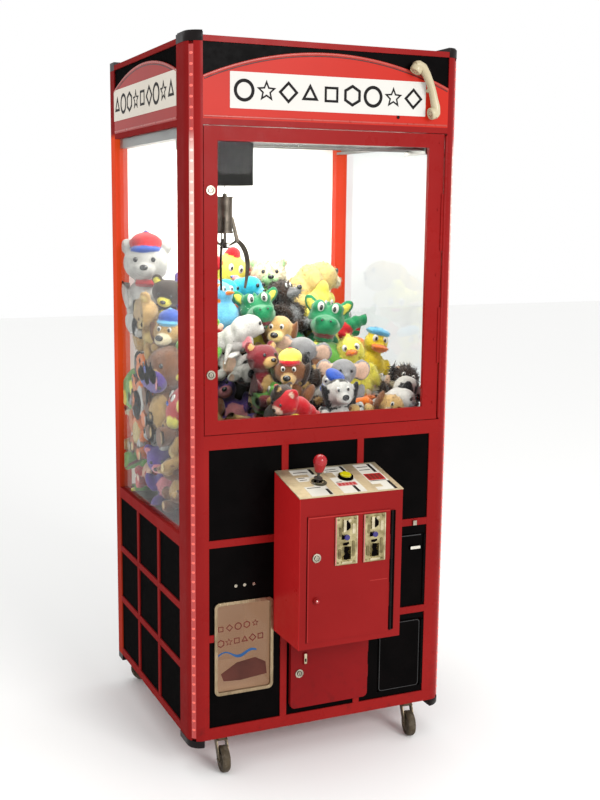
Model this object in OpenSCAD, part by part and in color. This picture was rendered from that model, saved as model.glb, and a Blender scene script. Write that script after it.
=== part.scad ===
// Claw crane machine: a glazed cabinet on castors, a three-axis claw gantry,
// a coin and control box on the front, and a prize chute with a swing flap.
// Millimetres. Seen from the front: +X right, +Y to the back, +Z up.
// Inside cab() the origin is the sharp front-left bottom corner of the shell.

/* [Cabinet] */
// Width of the cabinet
cab_w = 812; // [740:1:980]
// Depth of the cabinet without the control box
cab_d = 745; // [680:1:900]
// Height of the shell from its lower edge to the top rail
body_h = 1915; // [1880:1:2300]
// Height of a castor, from the floor to the shell
castor_h = 105; // [98:1:125]

/* [Corner posts] */
// Width of a corner post on the front, also the radius of its nose
post_x = 40; // [34:1:48]
// Width of a front corner post on the side
post_y = 94; // [70:1:120]
// Width of a rear corner post on the side
rear_y = 45; // [35:1:60]
// Wall of the post extrusion
post_wall = 3; // [2:0.5:5]
// Width of the light strip in the nose of a front post
strip_w = 14; // [10:1:18]
// Depth of the light strip
strip_d = 8; // [6:1:10]
// Height of a top cap
cap_top = 27; // [18:1:40]
// Height of a bottom cap
cap_bottom = 22; // [12:1:28]

/* [Frame] */
// Height of the top rails
top_rail = 15; // [10:1:30]
// Height of the front bottom rail
bottom_rail = 34; // [25:1:60]
// Depth of the rails behind the outer face
rail_d = 30; // [25:1:40]
// Height of the front row bars
row_bar = 21; // [15:1:30]
// Height of the mid rail under the glass door
mid_rail = 40; // [30:1:60]
// Level of the top of the toy bed rails
sill_z = 579; // [520:1:640]
// Height of the sill rail on the sides
sill_h = 34; // [25:1:60]
// Level of the underside of the marquee
marquee_z = 1708; // [1650:1:1760]
// Height of the rail under the marquee
header_h = 16; // [12:1:30]
// Thickness of the black infill panels
panel_t = 3; // [2:0.5:6]
// Setback of the infill panels from the outer face
panel_back = 4; // [2:1:10]
// Width of the left front stile beside the panels
stile_l = 14; // [8:1:30]
// Width of the right front stile beside the panels
stile_r = 30; // [20:1:45]
// Width of a mullion between panels
mullion = 20; // [14:1:30]

/* [Glass door] */
// Width of the door stiles and rails
door_bar = 38; // [30:1:60]
// Thickness of the door
door_t = 22; // [16:1:32]
// Running gap round the doors
door_gap = 2; // [1:0.5:4]
// Width of the hinge slot on the right
hinge_slot = 8; // [7:1:14]
// Thickness of the glass
glass_t = 5; // [3:0.5:8]
// How far the glass sits inside the frame
glass_lap = 6; // [4:1:10]

/* [Marquee] */
// Radius of the arch
arch_r = 940; // [800:5:1200]
// Width of the moulded rim on the arch
arch_rim = 11; // [6:1:20]
// Height of the white sign plate
sign_h = 93; // [60:1:110]
// Width of the sign on the front
sign_w = 584; // [400:1:640]

/* [Control box] */
// Width of the control box
box_w = 312; // [290:1:360]
// Depth of the control box
box_d = 170; // [140:1:240]
// Level of the underside of the control box
box_z = 298; // [290:1:360]
// Height of the box at its front face
box_front_h = 422; // [400:1:500]
// Rise of the sloping panel from front to back
panel_rise = 39; // [20:1:70]
// Sheet of the control box
sheet_t = 2; // [1:0.5:3]
// Left edge of the control box
box_x = 248; // [200:1:280]
// Thickness of the brushed control panel
plate_t = 2.5; // [1.5:0.5:4]
// Travel of the drop button
button_travel = 3; // [2:0.5:4]

/* [Prize side] */
// Inner width of the prize chute
chute_w = 206; // [190:1:230]
// Level of the top of the clear chute guard
guard_z = 1040; // [900:5:1150]
// Wall of the clear guard
guard_t = 4; // [3:1:6]
// Width of the prize door
flap_w = 160; // [140:1:170]
// Height of the prize door
flap_h = 254; // [220:1:258]

/* [Claw] */
// Radius of the claw housing
claw_r = 21; // [18:0.5:26]
// Height of the claw housing
claw_h = 101; // [80:1:130]
// Radius at which the fingers are hinged
elbow_r = 36; // [32:0.5:42]
// Thickness of a finger
finger_t = 5; // [3:0.5:8]
// Drop of a finger tip below its pivot
finger_l = 134; // [110:1:150]
// Radius of the finger pivots
pivot_r = 2; // [1.5:0.25:3]

/* [Castors] */
// Radius of a castor wheel
wheel_r = 37.5; // [30:0.5:40]
// Width of a castor wheel
wheel_w = 24; // [18:1:30]
// Trail of the wheel behind its swivel
trail = 32; // [20:1:36]
// Inset of the castors from the sides
castor_in = 102; // [80:1:140]
// Inset of the castors from the front and the back
castor_iny = 40; // [38:1:90]

/* [Fits] */
// Clearance round running shafts
run = 0.1; // [0.05:0.01:0.2]
// Clearance between sliding or soft faces
slide = 0.4; // [0.3:0.05:0.8]
// Gap at the butt joints of the frame bars
seam = 0.2; // [0.1:0.05:0.5]

/* [Hidden] */
$fn = 40;

red = "#b3161c";
dark = "#111111";
steel = "#b9b9b9";

// Levels and places that follow from the sizes above
front_x1 = cab_w - post_x;
inner_x = cab_w - 2 * post_x;
rear_y0 = cab_d - rear_y;
rail_top = body_h - top_rail;
header_z = marquee_z - header_h;
door_z1 = header_z - door_gap;
row_h = 253;
row1_z = bottom_rail + row_h;
row2_z = sill_z - row_bar;
grid_top = row2_z + row_bar + 254;
door_z0 = grid_top + mid_rail + door_gap;
col_w = (inner_x - stile_l - stile_r - 2 * mullion) / 3;
col1_x = post_x + stile_l;
col2_x = col1_x + col_w + mullion;
col3_x = col2_x + col_w + mullion;
side_cell = (rear_y0 - post_y - 2 * mullion) / 3;
glass_x = 8;
deck_t = 6;
deck_z = sill_z - 9;

// Main door
door_x0 = post_x + door_gap;
door_x1 = front_x1 - hinge_slot;
knuckle_r = 3.4;
hinge_pin_r = 1.5;
hinge_y = -3;
door_px = door_x1 + 4;
lock_r = 9.5;
lock_x = 60;
lock_upper_z = 1525;
lock_lower_z = 1039;

// Control box, in its own sloping frame for the panel
panel_a = atan(panel_rise / box_d);
panel_len = box_d / cos(panel_a);
box_top = box_z + box_front_h;
box_x1 = box_x + box_w;
coin_x0 = box_x + 23;
coin_x1 = box_x + 273;
coin_z0 = box_z + 19;
coin_z1 = box_top - 52;
coin_t = 3;
coin_px = coin_x1 + 5;
coin_y = -box_d - coin_t;
coin_py = coin_y - 1;
mech_w = 68;
mech_h = 134;
mech_z = coin_z1 - 7 - mech_h;
mech_x = [coin_x0 + 80, coin_x0 + 166];
mech_t = 4;
reject_z = mech_z + 77;
reject_r = 7.5;
knob_h = 10;
front_reach = box_d + coin_t + knob_h;
coin_lock_x = coin_x0 + 26;
coin_lock_z = box_z + 256;
knob_z = box_z + 137;
stick_x = box_x + 92;
stick_y = 87;
stick_hole = 14;
pivot_z = -24;
button_x = box_x + 181;
button_y = 97;
button_r = 16;

// Cash door, ticket door and access door
cash_x0 = 297;
cash_x1 = 545;
cash_z0 = 56;
cash_z1 = 284;
cash_relief = 14;
ticket_x0 = box_x1 + 8;
ticket_x1 = front_x1 - stile_r - 12;
ticket_z0 = row1_z + row_bar + 6;
ticket_z1 = 532;
panel_py = panel_back - 3.6;
access_x1 = front_x1 - stile_r - 12;
access_x0 = access_x1 - 140;
access_z0 = 53;
access_z1 = 268;

// Prize side
chute_x0 = 58;
chute_y0 = 57;
bin_floor = 118;
flap_x0 = 78;
flap_z0 = 136;
flap_z1 = flap_z0 + flap_h;
flap_t = 4;
flap_pin_z = flap_z1 - 3;
flap_pin_r = 2.5;
trim_w = 9;
claw_x = chute_x0 + chute_w / 2;
claw_y = chute_y0 + chute_w / 2;

// Gantry
guide_w = 24;
guide_h = 28;
guide_z = header_z - guide_h;
guide_x = 16;
rod_r = 6;
rod_y = 45;
rod_z = guide_z - 9;
truck_x = guide_x + guide_w + slide;
truck_t = 8;
box_bottom = 1541;
car_w = 116;
car_d = 132;
spool_r = 16;
spool_z = 1590;
string_r = 1.2;
claw_top = 1512;
elbow_z = claw_top - claw_h - 20;
hub_z = elbow_z - 21;
claw_turn = 0;

// Castors: swivel places and the way each wheel trails at rest
castor_at = [[castor_in, castor_iny], [cab_w - castor_in, castor_iny],
    [cab_w - castor_in, cab_d - castor_iny], [castor_in, cab_d - castor_iny]];
castor_turn = [-4, -10, 120, -120];
axle_z = wheel_r - castor_h;
axle_r = 4;
head_r = 20;

y_mid = (cab_d - front_reach) / 2;

module cab() {
    translate([-cab_w / 2, -y_mid, castor_h]) children();
}

// A block from one corner to the opposite one
module block(a, b) {
    translate(a) cube([b[0] - a[0], b[1] - a[1], b[2] - a[2]]);
}

// A flat plate with round corners that faces the front, from y0 back to y1
module face_plate(x0, x1, z0, z1, y0, y1, r) {
    translate([x0, y1, z0]) rotate([90, 0, 0]) linear_extrude(y1 - y0) {
        translate([r, 0]) square([x1 - x0 - 2 * r, z1 - z0]);
        translate([0, r]) square([x1 - x0, z1 - z0 - 2 * r]);
        for (x = [r, x1 - x0 - r], z = [r, z1 - z0 - r]) translate([x, z]) circle(r);
    }
}

// A shaft along Y between two depths
module shaft_y(x, z, y0, y1, r) {
    translate([x, y1, z]) rotate([90, 0, 0]) cylinder(r = r, h = y1 - y0);
}

// Left and right copies about the middle of the cabinet
module both_sides() {
    children();
    translate([cab_w, 0, 0]) mirror([1, 0, 0]) children();
}

// The moving or fixed half of an upright hinge: five knuckles, alternate ones each
module hinge_half(px, py, z0, z1, moving, leaf) {
    n = 5;
    seg = (z1 - z0) / n;
    for (i = [0 : n - 1]) if ((i % 2 == 1) == moving) {
        za = z0 + i * seg + slide / 2;
        h = seg - slide;
        difference() {
            union() {
                translate([px, py, za]) cylinder(r = knuckle_r, h = h);
                translate([moving ? px - leaf : px, py, za]) cube([leaf, knuckle_r, h]);
            }
            if (moving) translate([px, py, za - 1]) cylinder(r = hinge_pin_r + run, h = h + 2);
        }
    }
    if (!moving) translate([px, py, z0 + slide / 2]) cylinder(r = hinge_pin_r, h = z1 - z0 - slide);
}

// ---------- shell ----------

// Everything in front of and to the left of the quarter round with its centre at the post's inner corner
module nose_cut(r) {
    difference() {
        translate([-10, -10, -1]) cube([post_x + 10, post_x + 10, body_h + 2]);
        translate([post_x, post_x, -2]) cylinder(r = r, h = body_h + 4, $fn = 96);
    }
}

module round_post(x0, y0, x1, y1, z0, z1) {
    difference() {
        block([x0, y0, z0], [x1, y1, z1]);
        translate([0, 0, z0]) nose_cut(post_x - x0);
    }
}

module strip_slot(w, d, h) {
    nose = post_x * (1 - sqrt(0.5));
    translate([nose, nose, 0]) rotate([0, 0, 45]) translate([-1, -w / 2, 0]) cube([d + 1, w, h]);
}

module front_post() {
    difference() {
        round_post(0, 0, post_x, post_y, 0, rail_top);
        difference() {
            round_post(post_wall, post_wall, post_x - post_wall, post_y - post_wall, -1, rail_top + 1);
            translate([0, 0, -1]) strip_slot(strip_w + 5, strip_d + 3, rail_top + 2);
        }
        translate([0, 0, -1]) strip_slot(strip_w, strip_d, rail_top + 2);
    }
}

module rear_post() {
    difference() {
        block([0, rear_y0, 0], [post_x, cab_d, rail_top]);
        block([post_wall, rear_y0 + post_wall, -1],
            [post_x - post_wall, cab_d - post_wall, rail_top + 1]);
    }
}

module corner_posts() color(red) cab() both_sides() {
    front_post();
    rear_post();
}

module post_lights() color("#ff5040") cab() both_sides() intersection() {
    translate([post_x, post_x, 8]) cylinder(r = post_x, h = rail_top - 16, $fn = 96);
    strip_slot(strip_w - 0.4, strip_d, rail_top);
}

module front_cap(z, h, inset_z) {
    round_post(-1, -1, post_x, post_y, z, z + h);
    round_post(2, 2, post_x, post_y - 2, inset_z, inset_z + 4);
}

module post_caps() color(dark) cab() both_sides() {
    front_cap(rail_top, cap_top - 4, rail_top + cap_top - 4);
    front_cap(4 - cap_bottom, cap_bottom - 4, -cap_bottom);
    block([0, rear_y0, rail_top], [post_x, cab_d, rail_top + cap_top - 2]);
    block([0, rear_y0, -cap_bottom + 2], [post_x, cab_d, 0]);
}

// Upright strip or cross rail of the front frame
module front_rail(x0, x1, z0, z1, d) {
    block([x0, 0, z0], [x1, d, z1]);
}

// Upright between the bottom rail and the rail under the door
module upright(x0, x1) {
    front_rail(x0, x1, bottom_rail + seam, grid_top - seam, rail_d / 2);
}

// Cross bar over one column of the grid
module cell_rail(x, z0, z1, d) {
    front_rail(x + seam, x + col_w - seam, z0, z1, d);
}

module frame_front() color(red) cab() {
    front_rail(post_x, front_x1, rail_top, body_h, rail_d);
    front_rail(post_x, front_x1, header_z, marquee_z, rail_d);
    front_rail(post_x, front_x1, grid_top, grid_top + mid_rail, rail_d);
    front_rail(post_x, front_x1, 0, bottom_rail, rail_d);
    upright(post_x, col1_x);
    upright(front_x1 - stile_r, front_x1);
    for (x = [col2_x, col3_x]) upright(x - mullion, x);
    for (x = [col1_x, col2_x, col3_x]) cell_rail(x, row2_z, sill_z, rail_d);
    front_rail(col1_x + seam, flap_x0 - trim_w, row1_z, row1_z + row_bar, panel_back + panel_t);
    for (x = [col2_x, col3_x]) cell_rail(x, row1_z, row1_z + row_bar, rail_d / 2);
    hinge_half(door_px, hinge_y, door_z0 + 4, door_z1 - 4, false, front_x1 - door_px);
    for (z = [lock_upper_z, lock_lower_z])
        block([post_x, door_t + 0.5, z - 16], [post_x + 10, door_t + 3.5, z + 16]);
}

module side_frame() {
    y0 = post_y;
    y1 = rear_y0;
    block([0, y0, rail_top], [rail_d, y1, body_h]);
    block([0, y0, header_z], [rail_d + 10, y1, marquee_z]);
    block([0, y0, sill_z - sill_h], [rail_d, y1, sill_z]);
    block([0, y0, 0], [rail_d, y1, bottom_rail - 9]);
    for (i = [1, 2]) {
        z = bottom_rail - 9 + i * (sill_z - sill_h - bottom_rail + 9) / 3;
        for (j = [0 : 2]) {
            yc = y0 + j * (side_cell + mullion);
            block([0, yc + seam, z - mullion / 2], [rail_d / 2, yc + side_cell - seam, z + mullion / 2]);
        }
        y = y0 + i * side_cell + (i - 1) * mullion;
        block([0, y, bottom_rail - 9 + seam], [rail_d / 2, y + mullion, sill_z - sill_h - seam]);
    }
}

module frame_sides() color(red) cab() both_sides() side_frame();

// Rear rails, the steel base plate and the castor mounting plates
module frame_rear() color(red) cab() {
    block([post_x, cab_d - rail_d, rail_top], [front_x1, cab_d, body_h]);
    block([post_x, cab_d - rail_d, sill_z - sill_h], [front_x1, cab_d, sill_z]);
    block([post_x, cab_d - rail_d, 0], [front_x1, cab_d, bottom_rail]);
    difference() {
        block([rail_d, rail_d, 0], [cab_w - rail_d, cab_d - rail_d, 4]);
        for (x = [0, cab_w - post_x]) {
            block([x, 0, -1], [x + post_x, post_y, 5]);
            block([x, rear_y0, -1], [x + post_x, cab_d, 5]);
        }
    }
    for (c = castor_at) difference() {
        block([c[0] - 34, c[1] - 34, -3], [c[0] + 34, c[1] + 34, 0]);
        translate([c[0], c[1], -4]) cylinder(r = 6 + run, h = 5);
    }
}

module front_cell(x0, z0, z1) {
    block([x0, panel_back, z0], [x0 + col_w, panel_back + panel_t, z1]);
}

module side_cells() {
    zs = bottom_rail - 9;
    pitch = (sill_z - sill_h - zs) / 3;
    for (i = [0 : 2], j = [0 : 2]) {
        y = post_y + i * (side_cell + mullion);
        z0 = zs + j * pitch + (j > 0 ? mullion / 2 : 0);
        z1 = zs + (j + 1) * pitch - (j < 2 ? mullion / 2 : 0);
        block([panel_back, y, z0], [panel_back + panel_t, y + side_cell, z1]);
    }
    block([panel_back, post_y, marquee_z], [panel_back + panel_t, rear_y0, rail_top]);
}

// Black infill of the lower front and sides and behind the marquee
module black_panels() color(dark) cab() {
    for (x = [col1_x, col2_x, col3_x]) front_cell(x, sill_z, grid_top);
    front_marquee_back();
    both_sides() side_cells();
}

// Front panels that are cut out for a door, with the fixed hinge halves on them
module cut_panels() color(dark) cab() {
    difference() {
        front_cell(col1_x, bottom_rail, row2_z);
        block([flap_x0 - 4, 0, flap_z0 - 4], [flap_x0 + flap_w + 4, 20, flap_z1 + 4]);
        block([0, 0, row1_z], [flap_x0 - trim_w, 20, row1_z + row_bar]);
    }
    difference() {
        front_cell(col2_x, row1_z + row_bar, row2_z);
        block([box_x + 30, 0, box_z + 20], [box_x1 - 30, 20, row2_z - 20]);
    }
    difference() {
        front_cell(col2_x, bottom_rail, row1_z);
        block([cash_x0 + 14, 0, cash_z0 + 14], [col2_x + col_w - 14, 20, cash_z1 - 14]);
    }
    difference() {
        front_cell(col3_x, row1_z + row_bar, row2_z);
        block([ticket_x0, 0, ticket_z0], [ticket_x1 + 4, 20, ticket_z1]);
    }
    difference() {
        front_cell(col3_x, bottom_rail, row1_z);
        block([access_x0 - 1, 0, access_z0], [access_x1 + 4, 20, access_z1]);
    }
    panel_hinge(ticket_x1 + 4, panel_py, ticket_z0 + 4, ticket_z1 - 4);
    panel_hinge(access_x1 + 4, panel_py, access_z0 + 4, access_z1 - 4);
    panel_hinge(cash_x1 + 4, hinge_y, cash_z0 + 18, cash_z1 - 18);
}

// Fixed half of a small hinge with the strip that carries it on the panel
module panel_hinge(px, py, z0, z1) {
    hinge_half(px, py, z0, z1, false, 4);
    block([px + 4, py, z0], [px + 8, panel_back, z1]);
}

module front_marquee_back() {
    block([post_x, panel_back, marquee_z], [front_x1, panel_back + panel_t, rail_top]);
}

// Arch of a marquee panel in its own plane: span, apex height and the sign on it
module arch_2d(span, apex, grow) {
    intersection() {
        translate([span / 2, apex - arch_r]) circle(arch_r + grow, $fn = 180);
        square([span, apex + grow + 1]);
    }
}

module arch_panel(span, apex, sign_len, sign_low) {
    linear_extrude(panel_back) arch_2d(span, apex, 0);
    translate([0, 0, panel_back]) linear_extrude(2) difference() {
        arch_2d(span, apex, 0);
        intersection() {
            arch_2d(span, apex, -arch_rim);
            translate([0, -1]) square([span, apex + 2]);
        }
    }
    translate([(span - sign_len) / 2, sign_low, panel_back]) cube([sign_len, sign_h, 2]);
}

module marquee_panels() color("#e02020") cab() {
    translate([post_x, panel_back, marquee_z]) rotate([90, 0, 0])
        arch_panel(inner_x, 1890 - marquee_z, sign_w, 28);
    both_sides() translate([panel_back, rear_y0, marquee_z]) rotate([90, 0, -90])
        arch_panel(rear_y0 - post_y, 1888 - marquee_z, rear_y0 - post_y, 37);
}

// Telephone-style receiver moulding standing on the right of the front marquee
module handset() color("#efe6cf") cab() {
    d = 36;
    y0 = -2 - d;
    translate([0, -2, 0]) rotate([90, 0, 0]) {
        linear_extrude(d) difference() {
            intersection() {
                translate([488, 1738]) circle(242, $fn = 180);
                polygon([[660, 1884], [640, 1800], [700, 1736], [760, 1736], [760, 1884]]);
            }
            translate([488, 1738]) circle(217, $fn = 180);
        }
        linear_extrude(d) polygon([[640, 1872], [655, 1887], [676, 1886], [690, 1860],
            [676, 1843], [656, 1838], [645, 1852]]);
        linear_extrude(d) polygon([[700, 1726], [726, 1726], [730, 1762], [706, 1776], [693, 1756]]);
    }
}

module side_glass() color([0.8, 0.9, 1, 0.3]) cab() both_sides()
    block([glass_x, post_y, sill_z], [glass_x + glass_t, rear_y0, header_z]);

// White inner back above the toy bed and the service panel below it
module rear_wall() color("white") cab() {
    block([post_x, cab_d - 16, sill_z], [front_x1, cab_d - 12, rail_top]);
    difference() {
        block([post_x, cab_d - 8, bottom_rail], [front_x1, cab_d - 5, sill_z - sill_h]);
        block([600, cab_d - 10, 60], [628, cab_d, 81]);
    }
}

// Roof sheet and the ceiling sheet over the play space
module roof_panel() color("#e8e8e8") cab() {
    difference() {
        block([20, 20, rail_top - 3], [cab_w - 20, cab_d - 20, rail_top]);
        for (x = [0, cab_w - post_x]) {
            block([x, 0, 0], [x + post_x, post_y, body_h]);
            block([x, rear_y0, 0], [x + post_x, cab_d, body_h]);
        }
    }
    block([post_x, rail_d, marquee_z - 6], [front_x1, cab_d - 16, marquee_z - 3]);
}

// Twin tube light: tray, end holders and tubes
module light_fixture() color("#f4f4f4") cab() {
    z = marquee_z - 6;
    block([140, 36, z - 10], [cab_w - 140, 96, z]);
    for (x = [148, cab_w - 160]) block([x, 40, z - 36], [x + 12, 92, z - 10]);
    for (y = [54, 78]) translate([160, y, z - 25]) rotate([0, 90, 0])
        cylinder(r = 8, h = cab_w - 320);
}

// ---------- toy bed and prize path ----------

module toy_deck() color("#9a9a9a") cab() difference() {
    block([rail_d, rail_d, deck_z - deck_t], [cab_w - rail_d, cab_d - rail_d, deck_z]);
    for (x = [0, cab_w - post_x]) {
        block([x, 0, 0], [x + post_x, post_y, deck_z + 1]);
        block([x, rear_y0, 0], [x + post_x, cab_d, deck_z + 1]);
    }
    block([chute_x0, chute_y0, 0], [chute_x0 + chute_w, chute_y0 + chute_w, deck_z + 1]);
}

// Square tube wall, open top and bottom
module square_tube(t, z0, z1) {
    difference() {
        block([chute_x0 - t, chute_y0 - t, z0], [chute_x0 + chute_w + t, chute_y0 + chute_w + t, z1]);
        block([chute_x0, chute_y0, z0 - 1], [chute_x0 + chute_w, chute_y0 + chute_w, z1 + 1]);
    }
}

module chute_guard() color([0.85, 0.95, 1, 0.35]) cab() square_tube(guard_t, deck_z, guard_z);

// Steel drop tube under the deck that opens to the prize door at the front
module prize_bin() color("#555555") cab() {
    difference() {
        square_tube(sheet_t, bin_floor, deck_z - deck_t);
        block([chute_x0, 0, bin_floor], [chute_x0 + chute_w, chute_y0 + 1, flap_z1 + trim_w]);
    }
    for (x = [chute_x0 - sheet_t, chute_x0 + chute_w])
        block([x, panel_back + panel_t, bin_floor], [x + sheet_t, chute_y0 - sheet_t, flap_z1 + trim_w + 2]);
    block([chute_x0 - sheet_t, panel_back + panel_t, bin_floor - 3],
        [chute_x0 + chute_w + sheet_t, chute_y0 + chute_w + sheet_t, bin_floor]);
    block([chute_x0, rail_d / 2 + 1, flap_z1 + trim_w], [chute_x0 + chute_w, chute_y0, flap_z1 + trim_w + 2]);
}

// Bright frame round the prize door, with the two pivot ears of the flap
module prize_door_frame() color("#9c8f7a") cab() {
    difference() {
        union() {
            face_plate(flap_x0 - trim_w, flap_x0 + flap_w + trim_w, flap_z0 - trim_w, flap_z1 + trim_w,
                -3, panel_back, 16);
            face_plate(flap_x0 - 4, flap_x0 + flap_w + 4, flap_z0 - 4, flap_z1 + 4,
                panel_back, panel_back + panel_t, 12);
        }
        face_plate(flap_x0, flap_x0 + flap_w, flap_z0, flap_z1, -4, panel_back + panel_t + 1, 9);
    }
    for (x = [flap_x0 - 5, flap_x0 + flap_w + 1]) difference() {
        block([x, panel_back + panel_t, flap_pin_z - 6], [x + 4, panel_back + panel_t + 10, flap_pin_z + 6]);
        translate([x - 1, panel_back + panel_t + 5, flap_pin_z]) rotate([0, 90, 0])
            cylinder(r = flap_pin_r + run, h = 6);
    }
}

// Clear flap: hangs from a pin at its top and swings inwards
module prize_flap() color([0.5, 0.4, 0.35, 0.6]) cab() {
    y = panel_back + panel_t + 5;
    translate([flap_x0 - 5, y, flap_pin_z]) rotate([0, 90, 0])
        cylinder(r = flap_pin_r, h = flap_w + 10);
    block([flap_x0 + 1.5, y - flap_t / 2, flap_pin_z - 10],
        [flap_x0 + flap_w - 1.5, y + flap_t / 2, flap_pin_z]);
    block([flap_x0 - 4, y - flap_t / 2, flap_z0 - 4],
        [flap_x0 + flap_w + 4, y + flap_t / 2, flap_pin_z - 10]);
}

// One slab of the plush mass between two depths; its top follows a line of points
module plush(y0, y1, x0, x1, top) {
    translate([0, y1, 0]) rotate([90, 0, 0]) linear_extrude(y1 - y0)
        polygon(concat([[x0, sill_z + slide]], [[max(x0, rail_d + slide), sill_z + slide],
            [max(x0, rail_d + slide), deck_z], [min(x1, cab_w - rail_d - slide), deck_z],
            [min(x1, cab_w - rail_d - slide), sill_z + slide], [x1, sill_z + slide]], top));
}

wide_x0 = glass_x + glass_t + slide;
wide_x1 = cab_w - wide_x0;
guard_x1 = chute_x0 + chute_w + guard_t + slide;
guard_y1 = chute_y0 + chute_w + guard_t + slide;
back_y0 = rear_y0 - 90;

// The plush prizes are soft masses in the bed: a low one at the front and the middle
module prizes_front() color("#d8b060") cab() {
    low = [[620, 1010], [470, 1110], [guard_x1, 1070]];
    plush(rail_d + slide, post_y, guard_x1, front_x1 - slide, concat([[front_x1 - slide, 950]], low));
    plush(post_y, guard_y1, guard_x1, wide_x1, concat([[wide_x1, 940]], low));
    plush(guard_y1, back_y0, wide_x0, wide_x1, [[wide_x1, 960], [650, 1080], [480, 1225], [wide_x0, 1215]]);
}

// The higher mass of prizes against the back
module prizes_back() color("#c09850") cab() {
    top = [[700, 1120], [620, 1290], [480, 1300], [180, 1330]];
    plush(back_y0 + slide, rear_y0 - slide, wide_x0, wide_x1,
        concat([[wide_x1, 980]], top, [[wide_x0, 1350]]));
}

// ---------- glass door ----------

module door_frame() color(red) cab() {
    gx0 = door_x0 + door_bar;
    gx1 = door_x1 - door_bar - 11;
    gz0 = door_z0 + door_bar;
    gz1 = door_z1 - door_bar;
    difference() {
        block([door_x0, 0, door_z0], [door_x1, door_t, door_z1]);
        block([gx0, -1, gz0], [gx1, door_t + 1, gz1]);
        block([gx0 - glass_lap, 10, gz0 - glass_lap], [gx1 + glass_lap, door_t + 1, gz1 + glass_lap]);
        for (z = [lock_upper_z, lock_lower_z]) shaft_y(lock_x, z, -1, door_t + 1, lock_r + run);
    }
    hinge_half(door_px, hinge_y, door_z0 + 4, door_z1 - 4, true, door_px - door_x1);
    for (i = [0 : 4]) shaft_y(door_x1 - 14, door_z0 + 50 + i * (door_z1 - door_z0 - 75) / 4, -2, 0, 4);
    for (i = [1, 3]) {
        seg = (door_z1 - door_z0 - 8) / 5;
        z = door_z0 + 4 + i * seg + slide / 2;
        block([door_x1 - 6, hinge_y, z], [door_x1, 0, z + seg - slide]);
    }
}

module door_glass() color([0.8, 0.9, 1, 0.25]) cab()
    block([door_x0 + door_bar - glass_lap, 10, door_z0 + door_bar - glass_lap],
        [door_x1 - door_bar - 11 + glass_lap, 10 + glass_t, door_z1 - door_bar + glass_lap]);

// Cam lock: flanged plug through a door and the cam behind it
module cam_lock(x, z, y_front, t, cam_len, r) {
    difference() {
        union() {
            shaft_y(x, z, y_front - 3, y_front, r + 3);
            shaft_y(x, z, y_front, y_front + t + 4, r);
            block([x - 6, y_front + t + 4, z - 6], [x + 6, y_front + t + 6, z + cam_len]);
        }
        block([x - 1, y_front - 4, z - 4], [x + 1, y_front - 1, z + 4]);
    }
}

module door_lock_upper() color(steel) cab() cam_lock(lock_x, lock_upper_z, 0, door_t, 18, lock_r);
module door_lock_lower() color(steel) cab() cam_lock(lock_x, lock_lower_z, 0, door_t, 18, lock_r);

// ---------- control box ----------

module panel_plane() {
    translate([box_x, -box_d, box_top]) rotate([panel_a, 0, 0]) children();
}

// Five-sided shell: sloping top open for the panel, back open to the cabinet
module control_box() color(red) cab() {
    difference() {
        translate([box_x, 0, 0]) rotate([90, 0, 90]) linear_extrude(box_w)
            polygon([[-box_d, box_z], [0, box_z], [0, box_top + panel_rise], [-box_d, box_top]]);
        translate([box_x + sheet_t, 0, 0]) rotate([90, 0, 90]) linear_extrude(box_w - 2 * sheet_t)
            polygon([[-box_d + sheet_t, box_z + sheet_t], [1, box_z + sheet_t],
                [1, box_top + panel_rise + 10], [-box_d + sheet_t, box_top + 10]]);
        block([coin_x0 + 5, -box_d - 1, coin_z0 + 5], [coin_x1 - 3, -box_d + 5, coin_z1 - 5]);
    }
    hinge_half(coin_px, coin_py, coin_z0 + 4, coin_z1 - 4, false, 4);
    block([coin_px + 4, coin_y, coin_z0 + 4], [coin_px + 10, -box_d, coin_z1 - 4]);
}

// Brushed panel with the joystick base, its gimbal ears and the button collar
module control_panel() color("#a89060") cab() panel_plane() {
    difference() {
        translate([-1, -1, 0]) cube([box_w + 2, panel_len + 1, plate_t]);
        translate([stick_x - box_x, stick_y, -1]) cylinder(r = stick_hole, h = plate_t + 2);
        translate([button_x - box_x, button_y, -1]) cylinder(r = 11, h = plate_t + 2);
    }
    translate([stick_x - box_x, stick_y, plate_t]) difference() {
        cylinder(r = 23, h = 2);
        translate([0, 0, -1]) cylinder(r = stick_hole, h = 4);
    }
    translate([button_x - box_x, button_y, plate_t]) difference() {
        cylinder(r = button_r + 5, h = 7);
        translate([0, 0, -1]) cylinder(r = button_r + 0.5, h = 9);
    }
    translate([button_x - box_x, button_y, -24]) difference() {
        cylinder(r = 14, h = 24);
        translate([0, 0, 3]) cylinder(r = 11, h = 22);
    }
    translate([stick_x - box_x, stick_y, 0]) for (s = [-1, 1]) difference() {
        translate([s * 28 - 3, -10, pivot_z - 8]) cube([6, 20, -pivot_z + 8]);
        translate([s * 28 - 4, 0, pivot_z]) rotate([0, 90, 0]) cylinder(r = 3 + run, h = 8);
    }
}

// Gimbal ring: tilts front to back on its two side pins
module joystick_gimbal() color("#333333") cab() panel_plane() translate([stick_x - box_x, stick_y, pivot_z]) {
    difference() {
        translate([-22, -18, -4]) cube([44, 36, 8]);
        translate([-12, -12, -5]) cube([24, 24, 10]);
        for (s = [-1, 1]) translate([0, s * 15 + 4, 0]) rotate([90, 0, 0]) cylinder(r = 2.5 + run, h = 8);
    }
    for (s = [-1, 1]) translate([s > 0 ? 22 : -31, 0, 0]) rotate([0, 90, 0]) cylinder(r = 3, h = 9);
}

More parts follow.
